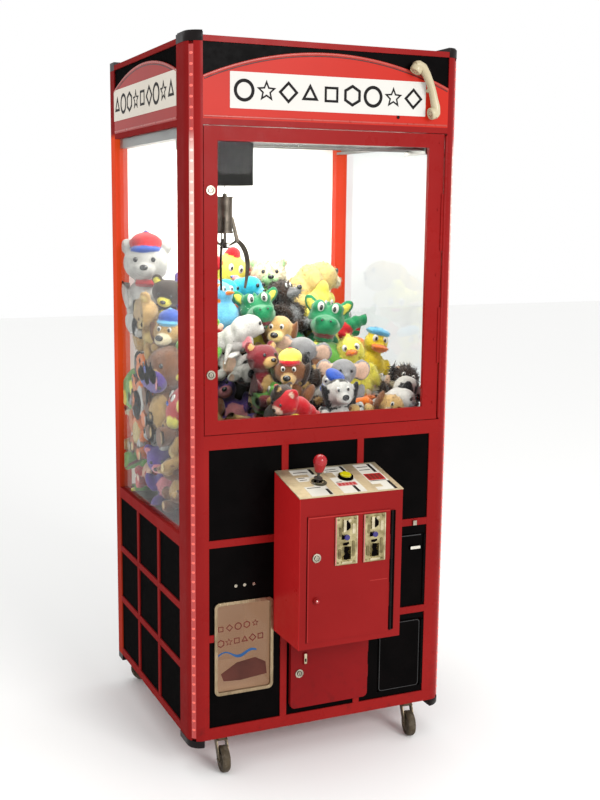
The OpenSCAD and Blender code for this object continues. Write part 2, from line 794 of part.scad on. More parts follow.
// Joystick: shaft, dust disc and bat grip; tilts sideways in the gimbal
module joystick() color(red) cab() panel_plane() translate([stick_x - box_x, stick_y, pivot_z]) {
    translate([0, 0, -22]) cylinder(r = 4, h = 84);
    translate([0, 18, 0]) rotate([90, 0, 0]) cylinder(r = 2.5, h = 36);
    sphere(r = 7);
    translate([0, 0, -pivot_z + plate_t + 10]) cylinder(r = 12, h = 2);
    translate([0, 0, 54]) rotate_extrude() {
        polygon([[0, 0], [10, 0], [12, 3], [19, 30], [19, 36], [0, 36]]);
        intersection() {
            translate([0, 34]) circle(19);
            translate([0, 34]) square(30);
        }
    }
}

// Drop button: cap, stem and retaining disc, in the collar
module drop_button() color("#f2d21b") cab() panel_plane() translate([button_x - box_x, button_y, 0]) {
    translate([0, 0, plate_t + button_travel + 1]) cylinder(r = button_r, h = 6);
    translate([0, 0, plate_t + button_travel + 7])
        cylinder(r1 = button_r, r2 = button_r - 3, h = 2, $fn = 40);
    translate([0, 0, -17]) cylinder(r = 10, h = 17 + plate_t + button_travel + 1);
}

// Coin door with its hinge knuckles and the red knob
module coin_door() color(red) cab() {
    difference() {
        block([coin_x0, coin_y, coin_z0], [coin_x1, -box_d, coin_z1]);
        for (x = mech_x)
            block([x + 6, coin_y - 1, mech_z + 6], [x + mech_w - 6, -box_d + 1, mech_z + mech_h - 6]);
        shaft_y(coin_lock_x, coin_lock_z, coin_y - 1, -box_d + 1, lock_r + run);
    }
    hinge_half(coin_px, coin_py, coin_z0 + 4, coin_z1 - 4, true, coin_px - coin_x1);
    shaft_y(coin_lock_x, knob_z, coin_y - knob_h + 4, coin_y, 9);
    shaft_y(coin_lock_x, knob_z, coin_y - knob_h, coin_y - knob_h + 4, 6);
}

// One coin mechanism: face plate with the entry slot and the return cup, and its body
module coin_mech(x) {
    difference() {
        union() {
            block([x, coin_y - mech_t, mech_z], [x + mech_w, coin_y, mech_z + mech_h]);
            block([x + 7, coin_y, mech_z + 7], [x + mech_w - 7, coin_y + 48, mech_z + mech_h - 7]);
            block([x + 22, coin_y - mech_t - 3, mech_z + 92], [x + 46, coin_y - mech_t, mech_z + 128]);
        }
        block([x + 32, coin_y - 12, mech_z + 96], [x + 36, coin_y + 30, mech_z + 124]);
        shaft_y(x + mech_w / 2, reject_z, coin_y - 5, coin_y + 14, reject_r + run);
        block([x + 20, coin_y - 6, mech_z + 14], [x + 48, coin_y + 20, mech_z + 50]);
    }
}

module coin_plates() color("#b09a60") cab() for (x = mech_x) coin_mech(x);

module reject_button(x) {
    shaft_y(x + mech_w / 2, reject_z, coin_y - mech_t - 6, coin_y + 10, reject_r);
}

module reject_button_left() color("#3a2f9a") cab() reject_button(mech_x[0]);
module reject_button_right() color("#3a2f9a") cab() reject_button(mech_x[1]);
module coin_lock() color(steel) cab() cam_lock(coin_lock_x, coin_lock_z, coin_y, coin_t, 26, lock_r);

// ---------- lower doors ----------

module cash_door() color(red) cab() {
    difference() {
        face_plate(cash_x0, cash_x1, cash_z0, cash_z1, -cash_relief - slide, -slide, 14);
        block([cash_x0 + 3, -cash_relief + 3, cash_z0 + 3], [cash_x1 - 3, 1, cash_z1 - 3]);
        shaft_y(cash_x0 + 26, cash_z0 + 106, -cash_relief - 1, -cash_relief + 4, lock_r + run);
    }
    hinge_half(cash_x1 + 4, hinge_y, cash_z0 + 18, cash_z1 - 18, true, 4);
    block([cash_x0 + 38, -cash_relief - 5, cash_z0 + 132], [cash_x0 + 50, -cash_relief, cash_z0 + 166]);
}

module cash_lock() color(steel) cab()
    cam_lock(cash_x0 + 26, cash_z0 + 106, -cash_relief - slide, cash_relief + 5, 22, lock_r);

// Cash box behind its door, on a shelf
module cash_box() color("#7d7d7d") cab() {
    x0 = cash_x0 + 20;
    x1 = col2_x + col_w - 20;
    difference() {
        block([x0, 40, 84], [x1, 280, cash_z1 - 40]);
        block([x0 + 2, 42, 86], [x1 - 2, 278, cash_z1]);
    }
    for (x = [x0, x1 - 14]) block([x, 60, 4], [x + 14, 260, 84]);
    block([x0 + 60, 34, 150], [x1 - 60, 40, 164]);
}

module ticket_door() color(dark) cab() {
    block([ticket_x0 + 1, panel_back - 3, ticket_z0 + 1], [ticket_x1, panel_back + 1, ticket_z1 - 1]);
    hinge_half(ticket_x1 + 4, panel_py, ticket_z0 + 4, ticket_z1 - 4, true, 4);
    block([ticket_x0 + 118, panel_back - 9, ticket_z1 - 46],
        [ticket_x0 + 152, panel_back - 3, ticket_z1 - 36]);
}

module access_door() color(dark) cab() {
    face_plate(access_x0, access_x1, access_z0 + 1, access_z1 - 1, panel_back - 3, panel_back + 1, 12);
    hinge_half(access_x1 + 4, panel_py, access_z0 + 4, access_z1 - 4, true, 4);
}

// ---------- gantry ----------

module gantry_rails() color("#8d8a72") cab() both_sides() difference() {
    block([guide_x, post_y + 2, guide_z], [guide_x + guide_w, rear_y0 - 2, guide_z + guide_h]);
    block([guide_x + 8, post_y + 2 - 1, guide_z + 8], [guide_x + guide_w + 1, rear_y0, guide_z + 20]);
}

module truck() {
    block([guide_x + 8 + slide, claw_y - 58, guide_z + 8 + slide],
        [truck_x + 1, claw_y + 62, guide_z + 20 - slide]);
    block([truck_x, claw_y - 58, rod_z - 16], [truck_x + truck_t, claw_y + 62, guide_z + 22]);
}

// Bridge: two trucks in the side guides, two rods between them and the drive box
module bridge() color("#8d8a72") cab() {
    both_sides() truck();
    for (s = [-1, 1]) translate([truck_x + truck_t, claw_y + s * rod_y, rod_z]) rotate([0, 90, 0])
        cylinder(r = rod_r, h = cab_w - 2 * truck_x - 2 * truck_t);
    block([truck_x + truck_t, claw_y - 34, rod_z - 40], [truck_x + truck_t + 44, claw_y + 34, rod_z + 8]);
}

// Trolley: rod carriage and the black cover that hides the winch
module trolley() color(dark) cab() {
    x0 = claw_x - car_w / 2;
    y0 = claw_y - car_d / 2;
    difference() {
        block([x0, y0, rod_z - 12], [x0 + car_w, y0 + car_d, rod_z + 10]);
        for (s = [-1, 1]) translate([x0 - 1, claw_y + s * rod_y, rod_z]) rotate([0, 90, 0])
            cylinder(r = rod_r + run, h = car_w + 2);
    }
    difference() {
        block([x0, y0, box_bottom], [x0 + car_w, y0 + car_d, rod_z - 12]);
        block([x0 + 2, y0 + 2, box_bottom + 2], [x0 + car_w - 2, y0 + car_d - 2, rod_z - 12]);
        translate([claw_x, claw_y, box_bottom - 1]) cylinder(r = 6, h = 4);
    }
    for (s = [-1, 1]) difference() {
        translate([claw_x + s * 24 - 3, claw_y, spool_z - 12]) cube([6, 36, rod_z - spool_z]);
        translate([claw_x + s * 24 - 4, claw_y + spool_r + string_r, spool_z]) rotate([0, 90, 0])
            cylinder(r = 3 + run, h = 8);
    }
}

// Winch spool: drum, flanges and axle
module spool() color(steel) cab()
translate([claw_x, claw_y + spool_r + string_r, spool_z]) rotate([0, 90, 0]) {
    translate([0, 0, -12]) cylinder(r = spool_r - slide, h = 24);
    for (z = [-14, 12]) translate([0, 0, z]) cylinder(r = 23, h = 2);
    translate([0, 0, -27]) cylinder(r = 3, h = 54);
}

module hoist_string() color("#222222") cab()
    translate([claw_x, claw_y, claw_top + 8]) cylinder(r = string_r, h = spool_z - claw_top - 8, $fn = 16);

// ---------- claw ----------

module claw_at() {
    translate([claw_x, claw_y, 0]) children();
}

// A flat part in the upright plane through the claw axis: radius across, height up
module radial_plate(t) {
    translate([0, t / 2, 0]) rotate([90, 0, 0]) linear_extrude(t) children();
}

// Housing with its bore, the eye on top and three pairs of arms with the finger pins
module claw_body() color("#6a5a48") cab() claw_at() {
    bottom = claw_top - claw_h;
    difference() {
        union() {
            translate([0, 0, bottom]) cylinder(r = claw_r, h = claw_h);
            for (z = [bottom, claw_top - 6]) translate([0, 0, z]) cylinder(r = claw_r + 2, h = 6);
            translate([0, 0, claw_top]) cylinder(r = 6, h = 8);
        }
        translate([0, 0, bottom - 1]) cylinder(r = 4 + run, h = 70);
    }
    for (a = [0, 120, 240]) rotate([0, 0, a + claw_turn]) {
        for (s = [-1, 1]) translate([0, s * (finger_t / 2 + slide + 1), 0]) radial_plate(2)
            polygon([[claw_r - 1, bottom + 44], [claw_r + 3, bottom + 46], [elbow_r + 5, elbow_z + 3],
                [elbow_r + 4, elbow_z - 4], [elbow_r - 3, elbow_z - 4], [elbow_r - 5, elbow_z + 6],
                [claw_r - 1, bottom + 34]]);
        translate([elbow_r, finger_t / 2 + slide + 2, elbow_z]) rotate([90, 0, 0])
            cylinder(r = pivot_r, h = finger_t + 2 * slide + 4);
    }
}

// Plunger rod and the grooved hub that works the three fingers
module plunger() color("#3a3a3a") cab() claw_at() {
    translate([0, 0, hub_z]) cylinder(r = 4, h = 84);
    for (z = [hub_z, hub_z + 13]) translate([0, 0, z]) cylinder(r = 15, h = 3);
    translate([0, 0, hub_z]) cylinder(r = 6, h = 16);
}

// Bent finger: short lever into the hub, curved blade and turned-in tip
function curve(t, a, b, c) = (1 - t) * (1 - t) * a + 2 * t * (1 - t) * b + t * t * c;

module finger() {
    difference() {
        union() {
            radial_plate(finger_t) translate([elbow_r, elbow_z]) circle(pivot_r + 4);
            radial_plate(finger_t) polygon([[elbow_r - 3, elbow_z + 2], [elbow_r + 2, elbow_z - 4],
                [14.5, elbow_z - 15], [12, elbow_z - 12]]);
            radial_plate(finger_t) translate([elbow_r, elbow_z]) polygon(concat(
                [for (i = [0 : 16]) curve(i / 16, [4, 4], [58, -26], [27, -finger_l])],
                [for (i = [16 : -1 : 0]) curve(i / 16, [-3, -4], [40, -34], [22, 2 - finger_l])]));
        }
        translate([elbow_r, finger_t, elbow_z]) rotate([90, 0, 0])
            cylinder(r = pivot_r + run, h = 2 * finger_t);
    }
}

module finger_1() color(dark) cab() claw_at() rotate([0, 0, claw_turn]) finger();
module finger_2() color(dark) cab() claw_at() rotate([0, 0, claw_turn + 120]) finger();
module finger_3() color(dark) cab() claw_at() rotate([0, 0, claw_turn + 240]) finger();

// ---------- castors ----------

// Swivel fork: stem, head and two legs that hold the axle; it trails towards -Y
module castor_fork(i) {
    translate([castor_at[i][0], castor_at[i][1], 0]) rotate([0, 0, castor_turn[i]]) {
        translate([0, 0, -8]) cylinder(r = 6, h = 8);
        difference() {
            union() {
                translate([0, 0, -16]) cylinder(r = head_r, h = 13 - slide);
                for (s = [-1, 1]) translate([s * (wheel_w / 2 + 3) - 1.5, 0, 0]) rotate([90, 0, 90])
                    linear_extrude(3) {
                        polygon([[-14, -16], [14, -16], [8 - trail, axle_z - 6], [-9 - trail, axle_z - 2],
                            [-9 - trail, axle_z + 6]]);
                        translate([-trail, axle_z]) circle(9);
                    }
                translate([-wheel_w / 2 - 4.5, -18, -19]) cube([wheel_w + 9, 32, 3]);
            }
            translate([-50, -trail, axle_z]) rotate([0, 90, 0]) cylinder(r = axle_r - 0.5, h = 100);
        }
        translate([-wheel_w / 2 - 8, -trail, axle_z]) rotate([0, 90, 0])
            cylinder(r = axle_r - 0.5, h = wheel_w + 16);
    }
}

// Wheel with a hub bore and a crowned tread
module castor_wheel(i) {
    translate([castor_at[i][0], castor_at[i][1], 0]) rotate([0, 0, castor_turn[i]])
        translate([0, -trail, axle_z]) rotate([0, 90, 0]) difference() {
            rotate_extrude($fn = 72) polygon([[0, -wheel_w / 2], [16, -wheel_w / 2], [16, 3 - wheel_w / 2],
                [26, 3 - wheel_w / 2], [28, 1 - wheel_w / 2], [wheel_r - 3, 1 - wheel_w / 2],
                [wheel_r, 5 - wheel_w / 2], [wheel_r, wheel_w / 2 - 5], [wheel_r - 3, wheel_w / 2 - 1],
                [28, wheel_w / 2 - 1], [26, wheel_w / 2 - 3], [16, wheel_w / 2 - 3], [16, wheel_w / 2],
                [0, wheel_w / 2]]);
            translate([0, 0, -wheel_w]) cylinder(r = axle_r - 0.5 + run, h = 2 * wheel_w);
        }
}

module castor_fork_1() color("#77716a") cab() castor_fork(0);
module castor_fork_2() color("#77716a") cab() castor_fork(1);
module castor_fork_3() color("#77716a") cab() castor_fork(2);
module castor_fork_4() color("#77716a") cab() castor_fork(3);
module castor_wheel_1() color("#5b564f") cab() castor_wheel(0);
module castor_wheel_2() color("#5b564f") cab() castor_wheel(1);
module castor_wheel_3() color("#5b564f") cab() castor_wheel(2);
module castor_wheel_4() color("#5b564f") cab() castor_wheel(3);

// ---------- inside the base ----------

// Power supply, control board on its stand-offs and the mains inlet in the rear panel
module electronics() color("#5f6b5f") cab() {
    block([560, 500, 4], [700, 640, 90]);
    block([330, 420, 12], [520, 640, 14]);
    for (x = [340, 504], y = [430, 624]) block([x, y, 4], [x + 6, y + 6, 12]);
    for (x = [350, 420], y = [450, 540]) block([x, y, 14], [x + 40, y + 50, 30]);
    block([600.3, cab_d - 30, 60.3], [627.7, cab_d - 5, 80.7]);
    block([596, cab_d - 8 - 3, 56], [632, cab_d - 8, 85]);
}

// Identical pan-head screws of the prize panel, and the small latch beside them
module screws() color(steel) cab() {
    for (x = [134, 160, 188]) shaft_y(x, 442, panel_back - 2, panel_back, 4.5);
    block([693, -6, row2_z + 2], [705, 0, row2_z + 16]);
}

corner_posts();
post_lights();
post_caps();
frame_front();
frame_sides();
frame_rear();
black_panels();
cut_panels();
marquee_panels();
handset();
side_glass();
rear_wall();
roof_panel();
light_fixture();
toy_deck();
chute_guard();
prize_bin();
prize_door_frame();
control_box();
control_panel();
gantry_rails();
electronics();
screws();
cash_box();
prizes_front();
prizes_back();
door_frame();
door_glass();
door_lock_upper();
door_lock_lower();
coin_door();
coin_plates();
reject_button_left();
reject_button_right();
coin_lock();
cash_door();
cash_lock();
prize_flap();
ticket_door();
access_door();
joystick_gimbal();
joystick();
drop_button();
bridge();
trolley();
spool();
hoist_string();
claw_body();
plunger();
finger_1();
finger_2();
finger_3();
castor_fork_1();
castor_fork_2();
castor_fork_3();
castor_fork_4();
castor_wheel_1();
castor_wheel_2();
castor_wheel_3();
castor_wheel_4();
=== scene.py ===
import math
import random

import bmesh
import bpy
import numpy as np
from mathutils import Euler, Matrix, Vector, noise


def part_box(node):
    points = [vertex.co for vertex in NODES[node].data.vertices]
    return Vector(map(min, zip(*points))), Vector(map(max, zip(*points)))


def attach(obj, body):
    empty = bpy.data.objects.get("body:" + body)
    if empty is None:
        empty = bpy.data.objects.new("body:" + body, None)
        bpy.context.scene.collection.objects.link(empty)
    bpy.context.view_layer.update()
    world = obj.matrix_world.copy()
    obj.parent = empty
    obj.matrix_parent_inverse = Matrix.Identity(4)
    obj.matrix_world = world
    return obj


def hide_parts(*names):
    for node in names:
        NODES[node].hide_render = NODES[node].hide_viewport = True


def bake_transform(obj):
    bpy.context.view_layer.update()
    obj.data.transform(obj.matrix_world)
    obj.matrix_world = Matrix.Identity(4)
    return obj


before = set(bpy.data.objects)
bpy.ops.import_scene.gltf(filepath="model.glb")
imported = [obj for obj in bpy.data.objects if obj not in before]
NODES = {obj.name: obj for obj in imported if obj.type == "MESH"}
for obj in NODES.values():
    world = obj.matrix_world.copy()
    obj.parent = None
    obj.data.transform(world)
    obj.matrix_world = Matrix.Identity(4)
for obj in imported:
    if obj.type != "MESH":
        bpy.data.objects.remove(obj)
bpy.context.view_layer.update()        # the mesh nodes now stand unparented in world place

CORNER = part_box("corner_posts")[0]


def at(x, y, z):
    """A point given in millimetres from the shell's front left lower corner, in metres in the frame."""
    return Vector((CORNER.x + x / 1000, CORNER.y + y / 1000, CORNER.z + z / 1000))


# ---------- camera, light and floor ----------

LENS = 50.97                    # millimetres, on a 36 mm sensor
SHIFT = (0.0384, -0.0031)
EYE = (-1.381, -3.099, 1.571)
YAW, PITCH, ROLL = (math.radians(a) for a in (23.16, 9.22, 0.37))


def make_camera():
    data = bpy.data.cameras.new("camera")
    cam = bpy.data.objects.new("camera", data)
    bpy.context.scene.collection.objects.link(cam)
    data.sensor_width = 36
    data.lens = LENS
    data.shift_x, data.shift_y = SHIFT
    cam.location = EYE
    look = Vector((math.sin(YAW) * math.cos(PITCH), math.cos(YAW) * math.cos(PITCH), -math.sin(PITCH)))
    turn = look.to_track_quat("-Z", "Y").to_matrix() @ Matrix.Rotation(ROLL, 3, "Z")
    cam.rotation_euler = turn.to_euler()
    bpy.context.scene.camera = cam


def area_light(name, where, aim, size, power, colour=(1, 1, 1)):
    data = bpy.data.lights.new(name, "AREA")
    data.shape = "RECTANGLE"
    data.size, data.size_y = size
    data.energy = power
    data.color = colour
    obj = bpy.data.objects.new(name, data)
    bpy.context.scene.collection.objects.link(obj)
    obj.location = where
    obj.rotation_euler = (Vector(aim) - Vector(where)).to_track_quat("-Z", "Y").to_euler()


def make_studio():
    scene = bpy.context.scene
    scene.view_settings.view_transform = "Standard"
    world = bpy.data.worlds.new("studio")
    scene.world = world
    world.use_nodes = True
    world.node_tree.nodes["Background"].inputs["Color"].default_value = (1, 1, 1, 1)
    world.node_tree.nodes["Background"].inputs["Strength"].default_value = 1.0
    area_light("key", (1.1, -5.2, 2.9), (0, 0, 1.0), (2.2, 2.2), 190)
    area_light("chute", at(150, 90, 1250), at(330, 330, 780), (0.16, 0.16), 0.9, (1, 0.96, 0.9))
    area_light("inside", at(406, 360, 1690), at(406, 380, 900), (0.62, 0.5), 11, (1, 0.97, 0.9))
    mesh = bpy.data.meshes.new("floor")
    mesh.from_pydata([(-14, -14, 0), (14, -14, 0), (14, 14, 0), (-14, 14, 0)], [], [(0, 1, 2, 3)])
    floor = bpy.data.objects.new("floor", mesh)
    scene.collection.objects.link(floor)
    mesh.materials.append(Shader("floor_paper", (0.93, 0.93, 0.92), 0.9).material)


# ---------- materials ----------

class Shader:
    """A Principled material with procedural colour, roughness and bump added step by step."""

    def __init__(self, name, colour, rough, metal=0.0, **sockets):
        self.material = bpy.data.materials.new(name)
        self.material.use_nodes = True
        self.tree = self.material.node_tree
        self.bsdf = self.tree.nodes["Principled BSDF"]
        self.set("Base Color", (*colour, 1))
        self.set("Roughness", rough)
        self.set("Metallic", metal)
        for key, value in sockets.items():
            self.set(key.replace("_", " ").title().replace("Ior", "IOR"), value)
        self.height = None

    @classmethod
    def wrap(cls, material):
        """A shader over a material made before, to add to it."""
        made = cls.__new__(cls)
        made.material, made.tree = material, material.node_tree
        made.bsdf = made.tree.nodes["Principled BSDF"]
        return made

    def set(self, socket, value):
        self.bsdf.inputs[socket].default_value = value

    def node(self, kind, **props):
        made = self.tree.nodes.new(kind)
        for key, value in props.items():
            setattr(made, key, value)
        return made

    def wire(self, output, target):
        self.tree.links.new(output, target)

    def place(self, stretch=(1, 1, 1)):
        """Object coordinates, stretched along the axes."""
        coords = self.node("ShaderNodeTexCoord")
        mapping = self.node("ShaderNodeMapping")
        mapping.inputs["Scale"].default_value = stretch
        self.wire(coords.outputs["Object"], mapping.inputs["Vector"])
        return mapping.outputs["Vector"]

    def noise(self, scale, detail=3.0, stretch=(1, 1, 1), rough=0.55):
        tex = self.node("ShaderNodeTexNoise")
        tex.inputs["Scale"].default_value = scale
        tex.inputs["Detail"].default_value = detail
        tex.inputs["Roughness"].default_value = rough
        self.wire(self.place(stretch), tex.inputs["Vector"])
        return tex.outputs["Fac"]

    def along(self, axis, low, high):
        """0 at low and 1 at high metres along an axis of the frame."""
        split = self.node("ShaderNodeSeparateXYZ")
        self.wire(self.place(), split.inputs[0])
        return self.remap(split.outputs[axis], low, high, 0, 1)

    def remap(self, value, a, b, c, d):
        mapped = self.node("ShaderNodeMapRange")
        for socket, number in zip(("From Min", "From Max", "To Min", "To Max"), (a, b, c, d)):
            mapped.inputs[socket].default_value = number
        self.wire(value, mapped.inputs["Value"])
        return mapped.outputs["Result"]

    def math(self, operation, a, b):
        made = self.node("ShaderNodeMath", operation=operation)
        for slot, value in enumerate((a, b)):
            if isinstance(value, (int, float)):
                made.inputs[slot].default_value = value
            else:
                self.wire(value, made.inputs[slot])
        return made.outputs[0]

    def ramp(self, value, stops):
        made = self.node("ShaderNodeValToRGB")
        marks = made.color_ramp.elements
        while len(marks) < len(stops):
            marks.new(0.5)
        for mark, (place, colour) in zip(marks, stops):
            mark.position = place
            mark.color = (*colour, 1)
        self.wire(value, made.inputs["Fac"])
        return made.outputs["Color"]

    def mix(self, factor, a, b, blend="MIX"):
        made = self.node("ShaderNodeMix", data_type="RGBA", blend_type=blend)
        for value, target in ((factor, made.inputs[0]), (a, made.inputs[6]), (b, made.inputs[7])):
            if isinstance(value, (int, float)):
                target.default_value = value
            elif isinstance(value, tuple):
                target.default_value = (*value, 1)
            else:
                self.wire(value, target)
        return made.outputs[2]

    def colour(self, output):
        self.wire(output, self.bsdf.inputs["Base Color"])
        return self

    def glow(self, output, strength):
        self.wire(output, self.bsdf.inputs["Emission Color"])
        self.set("Emission Strength", strength)
        return self

    def rough(self, value, low, high):
        self.wire(self.remap(value, 0.25, 0.75, low, high), self.bsdf.inputs["Roughness"])
        return self

    def bump(self, value, strength, distance=0.001):
        made = self.node("ShaderNodeBump")
        made.inputs["Strength"].default_value = strength
        made.inputs["Distance"].default_value = distance
        self.wire(value, made.inputs["Height"])
        if self.height is not None:
            self.wire(self.height, made.inputs["Normal"])
        self.height = made.outputs["Normal"]
        self.wire(self.height, self.bsdf.inputs["Normal"])
        return self


def flank_share(s):
    """1 on the two sides of the cabinet, where the sheet is duller, and 0 between them."""
    split = s.node("ShaderNodeSeparateXYZ")
    s.wire(s.place(), split.inputs[0])
    return s.remap(s.math("ABSOLUTE", split.outputs[0], 0), 0.392, 0.397, 0, 1)


def paint(name, light, deep, rough=0.3):
    """Sprayed enamel: fine orange peel, slightly uneven colour, and dirt that gathers near the floor."""
    s = Shader(name, light, rough, specular_ior_level=0.07)
    body = s.ramp(s.noise(2.2, 4), [(0.32, deep), (0.68, light)])
    low = s.math("MULTIPLY", s.remap(s.along(2, 0.1, 0.36), 0, 1, 1, 0), s.remap(s.noise(38, 6), 0.54, 0.74, 0, 0.4))
    s.colour(s.mix(low, body, tuple(c * 0.22 + 0.006 for c in deep)))
    s.wire(s.math("ADD", s.remap(s.noise(24, 5), 0.25, 0.75, rough - 0.08, rough + 0.1),
                  s.math("MULTIPLY", flank_share(s), 0.5)), s.bsdf.inputs["Roughness"])
    s.bump(s.noise(420, 2), 0.1, 0.0004)
    return s.material


def plastic(name, light, deep, rough=0.4, grain=900, strength=0.15, level=0.35):
    s = Shader(name, light, rough, specular_ior_level=level)
    s.colour(s.ramp(s.noise(14, 5), [(0.3, deep), (0.7, light)]))
    s.rough(s.noise(60, 4), rough - 0.08, rough + 0.08)
    s.bump(s.noise(grain, 2), strength, 0.0003)
    return s.material


def brushed(name, light, deep, rough=0.32, stretch=(2, 90, 90), scale=14):
    """Brushed or drawn metal: fine streaks along one axis and a little tarnish."""
    s = Shader(name, light, rough, metal=1.0)
    streak = s.noise(scale, 6, stretch)
    tarnish = s.remap(s.noise(16, 5), 0.52, 0.75, 0, 0.6)
    s.colour(s.mix(tarnish, s.ramp(streak, [(0.3, deep), (0.7, light)]), tuple(c * 0.55 for c in deep)))
    s.rough(streak, rough - 0.07, rough + 0.12)
    s.bump(streak, 0.12, 0.0003)
    return s.material


def metal(name, light, deep, rough=0.2):
    s = Shader(name, light, rough, metal=1.0)
    s.colour(s.ramp(s.noise(45, 5), [(0.35, deep), (0.65, light)]))
    s.rough(s.noise(120, 4), rough * 0.7, rough * 1.6)
    s.bump(s.noise(300, 3), 0.08, 0.0002)
    return s.material


def clear(name, tint, share, rough=0.02):
    """A clear sheet: mostly see-through, with a gloss that grows towards grazing angles."""
    s = Shader(name, tint, rough)
    see = s.node("ShaderNodeBsdfTransparent")
    see.inputs["Color"].default_value = (*tint, 1)
    gloss = s.node("ShaderNodeBsdfGlossy")
    gloss.inputs["Roughness"].default_value = rough
    fresnel = s.node("ShaderNodeFresnel")
    fresnel.inputs["IOR"].default_value = 1.33
    smear = s.math("MULTIPLY", s.remap(s.noise(5, 6), 0.35, 0.8, 0.6, 1.3), share)
    both = s.node("ShaderNodeMixShader")
    s.wire(s.math("MULTIPLY", fresnel.outputs["Fac"], smear), both.inputs[0])
    s.wire(see.outputs[0], both.inputs[1])
    s.wire(gloss.outputs[0], both.inputs[2])
    s.wire(both.outputs[0], s.tree.nodes["Material Output"].inputs["Surface"])
    return s.material


def lit(name, light, deep, glow, strength, rough=0.35, scale=3):
    """A back-lit sheet: its own colour with a soft uneven glow."""
    s = Shader(name, light, rough, specular_ior_level=0.12)
    s.colour(s.ramp(s.noise(scale, 3), [(0.3, deep), (0.7, light)]))
    s.glow(s.ramp(s.noise(scale * 0.7, 2), [(0.3, tuple(c * 0.75 for c in glow)), (0.7, glow)]), strength)
    s.bump(s.noise(300, 2), 0.05, 0.0002)
    return s.material


def pile(name):
    """Plush pile: the colour sewn into each toy, broken up by the nap, with a soft sheen."""
    s = Shader(name, (0.6, 0.5, 0.3), 0.92, sheen_weight=0.35, sheen_roughness=0.5, specular_ior_level=0.15)
    tint = s.node("ShaderNodeAttribute", attribute_name="tint")
    nap = s.ramp(s.noise(260, 5, rough=0.7), [(0.3, (0.62, 0.62, 0.62)), (0.7, (1.0, 1.0, 1.0))])
    wave = s.ramp(s.noise(38, 4), [(0.3, (0.78, 0.78, 0.78)), (0.7, (1.0, 1.0, 1.0))])
    s.colour(s.mix(1.0, s.mix(1.0, tint.outputs["Color"], nap, "MULTIPLY"), wave, "MULTIPLY"))
    s.bump(s.noise(520, 4, rough=0.75), 0.9, 0.0012)
    s.bump(s.noise(110, 4), 0.5, 0.0025)
    return s.material


def bead(name):
    """Moulded eyes and noses in their own colours."""
    s = Shader(name, (0.02, 0.02, 0.02), 0.12, coat_weight=0.6)
    tint = s.node("ShaderNodeAttribute", attribute_name="tint")
    s.colour(s.mix(1.0, tint.outputs["Color"], s.ramp(s.noise(90, 3), [(0.3, (0.8,) * 3), (0.7, (1.0,) * 3)]), "MULTIPLY"))
    s.rough(s.noise(200, 3), 0.1, 0.3)
    return s.material


# ---------- mesh helpers ----------

def piece(name, verts, faces, materials, body="cabinet", smooth=False, picks=None):
    """A mesh piece that rides on a body. picks gives the material of each face."""
    mesh = bpy.data.meshes.new(name)
    mesh.from_pydata([tuple(v) for v in verts], [], faces)
    mesh.validate()
    for m in materials:
        mesh.materials.append(m)
    if picks is not None:
        mesh.polygons.foreach_set("material_index", picks)
    if smooth:
        mesh.polygons.foreach_set("use_smooth", [True] * len(mesh.polygons))
    obj = bpy.data.objects.new(name, mesh)
    bpy.context.scene.collection.objects.link(obj)
    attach(obj, body)
    return obj


def bands(rows, n, loop=False):
    """Quads between neighbouring rings of n points; with loop, the last ring joins the first."""
    return [(i * n + k, i * n + (k + 1) % n, (i + 1) % rows * n + (k + 1) % n, (i + 1) % rows * n + k)
            for i in range(rows if loop else rows - 1) for k in range(n)]


def ends(rows, n):
    """The flat faces that close the first and the last ring."""
    return [tuple(reversed(range(n))), tuple(range((rows - 1) * n, rows * n))]


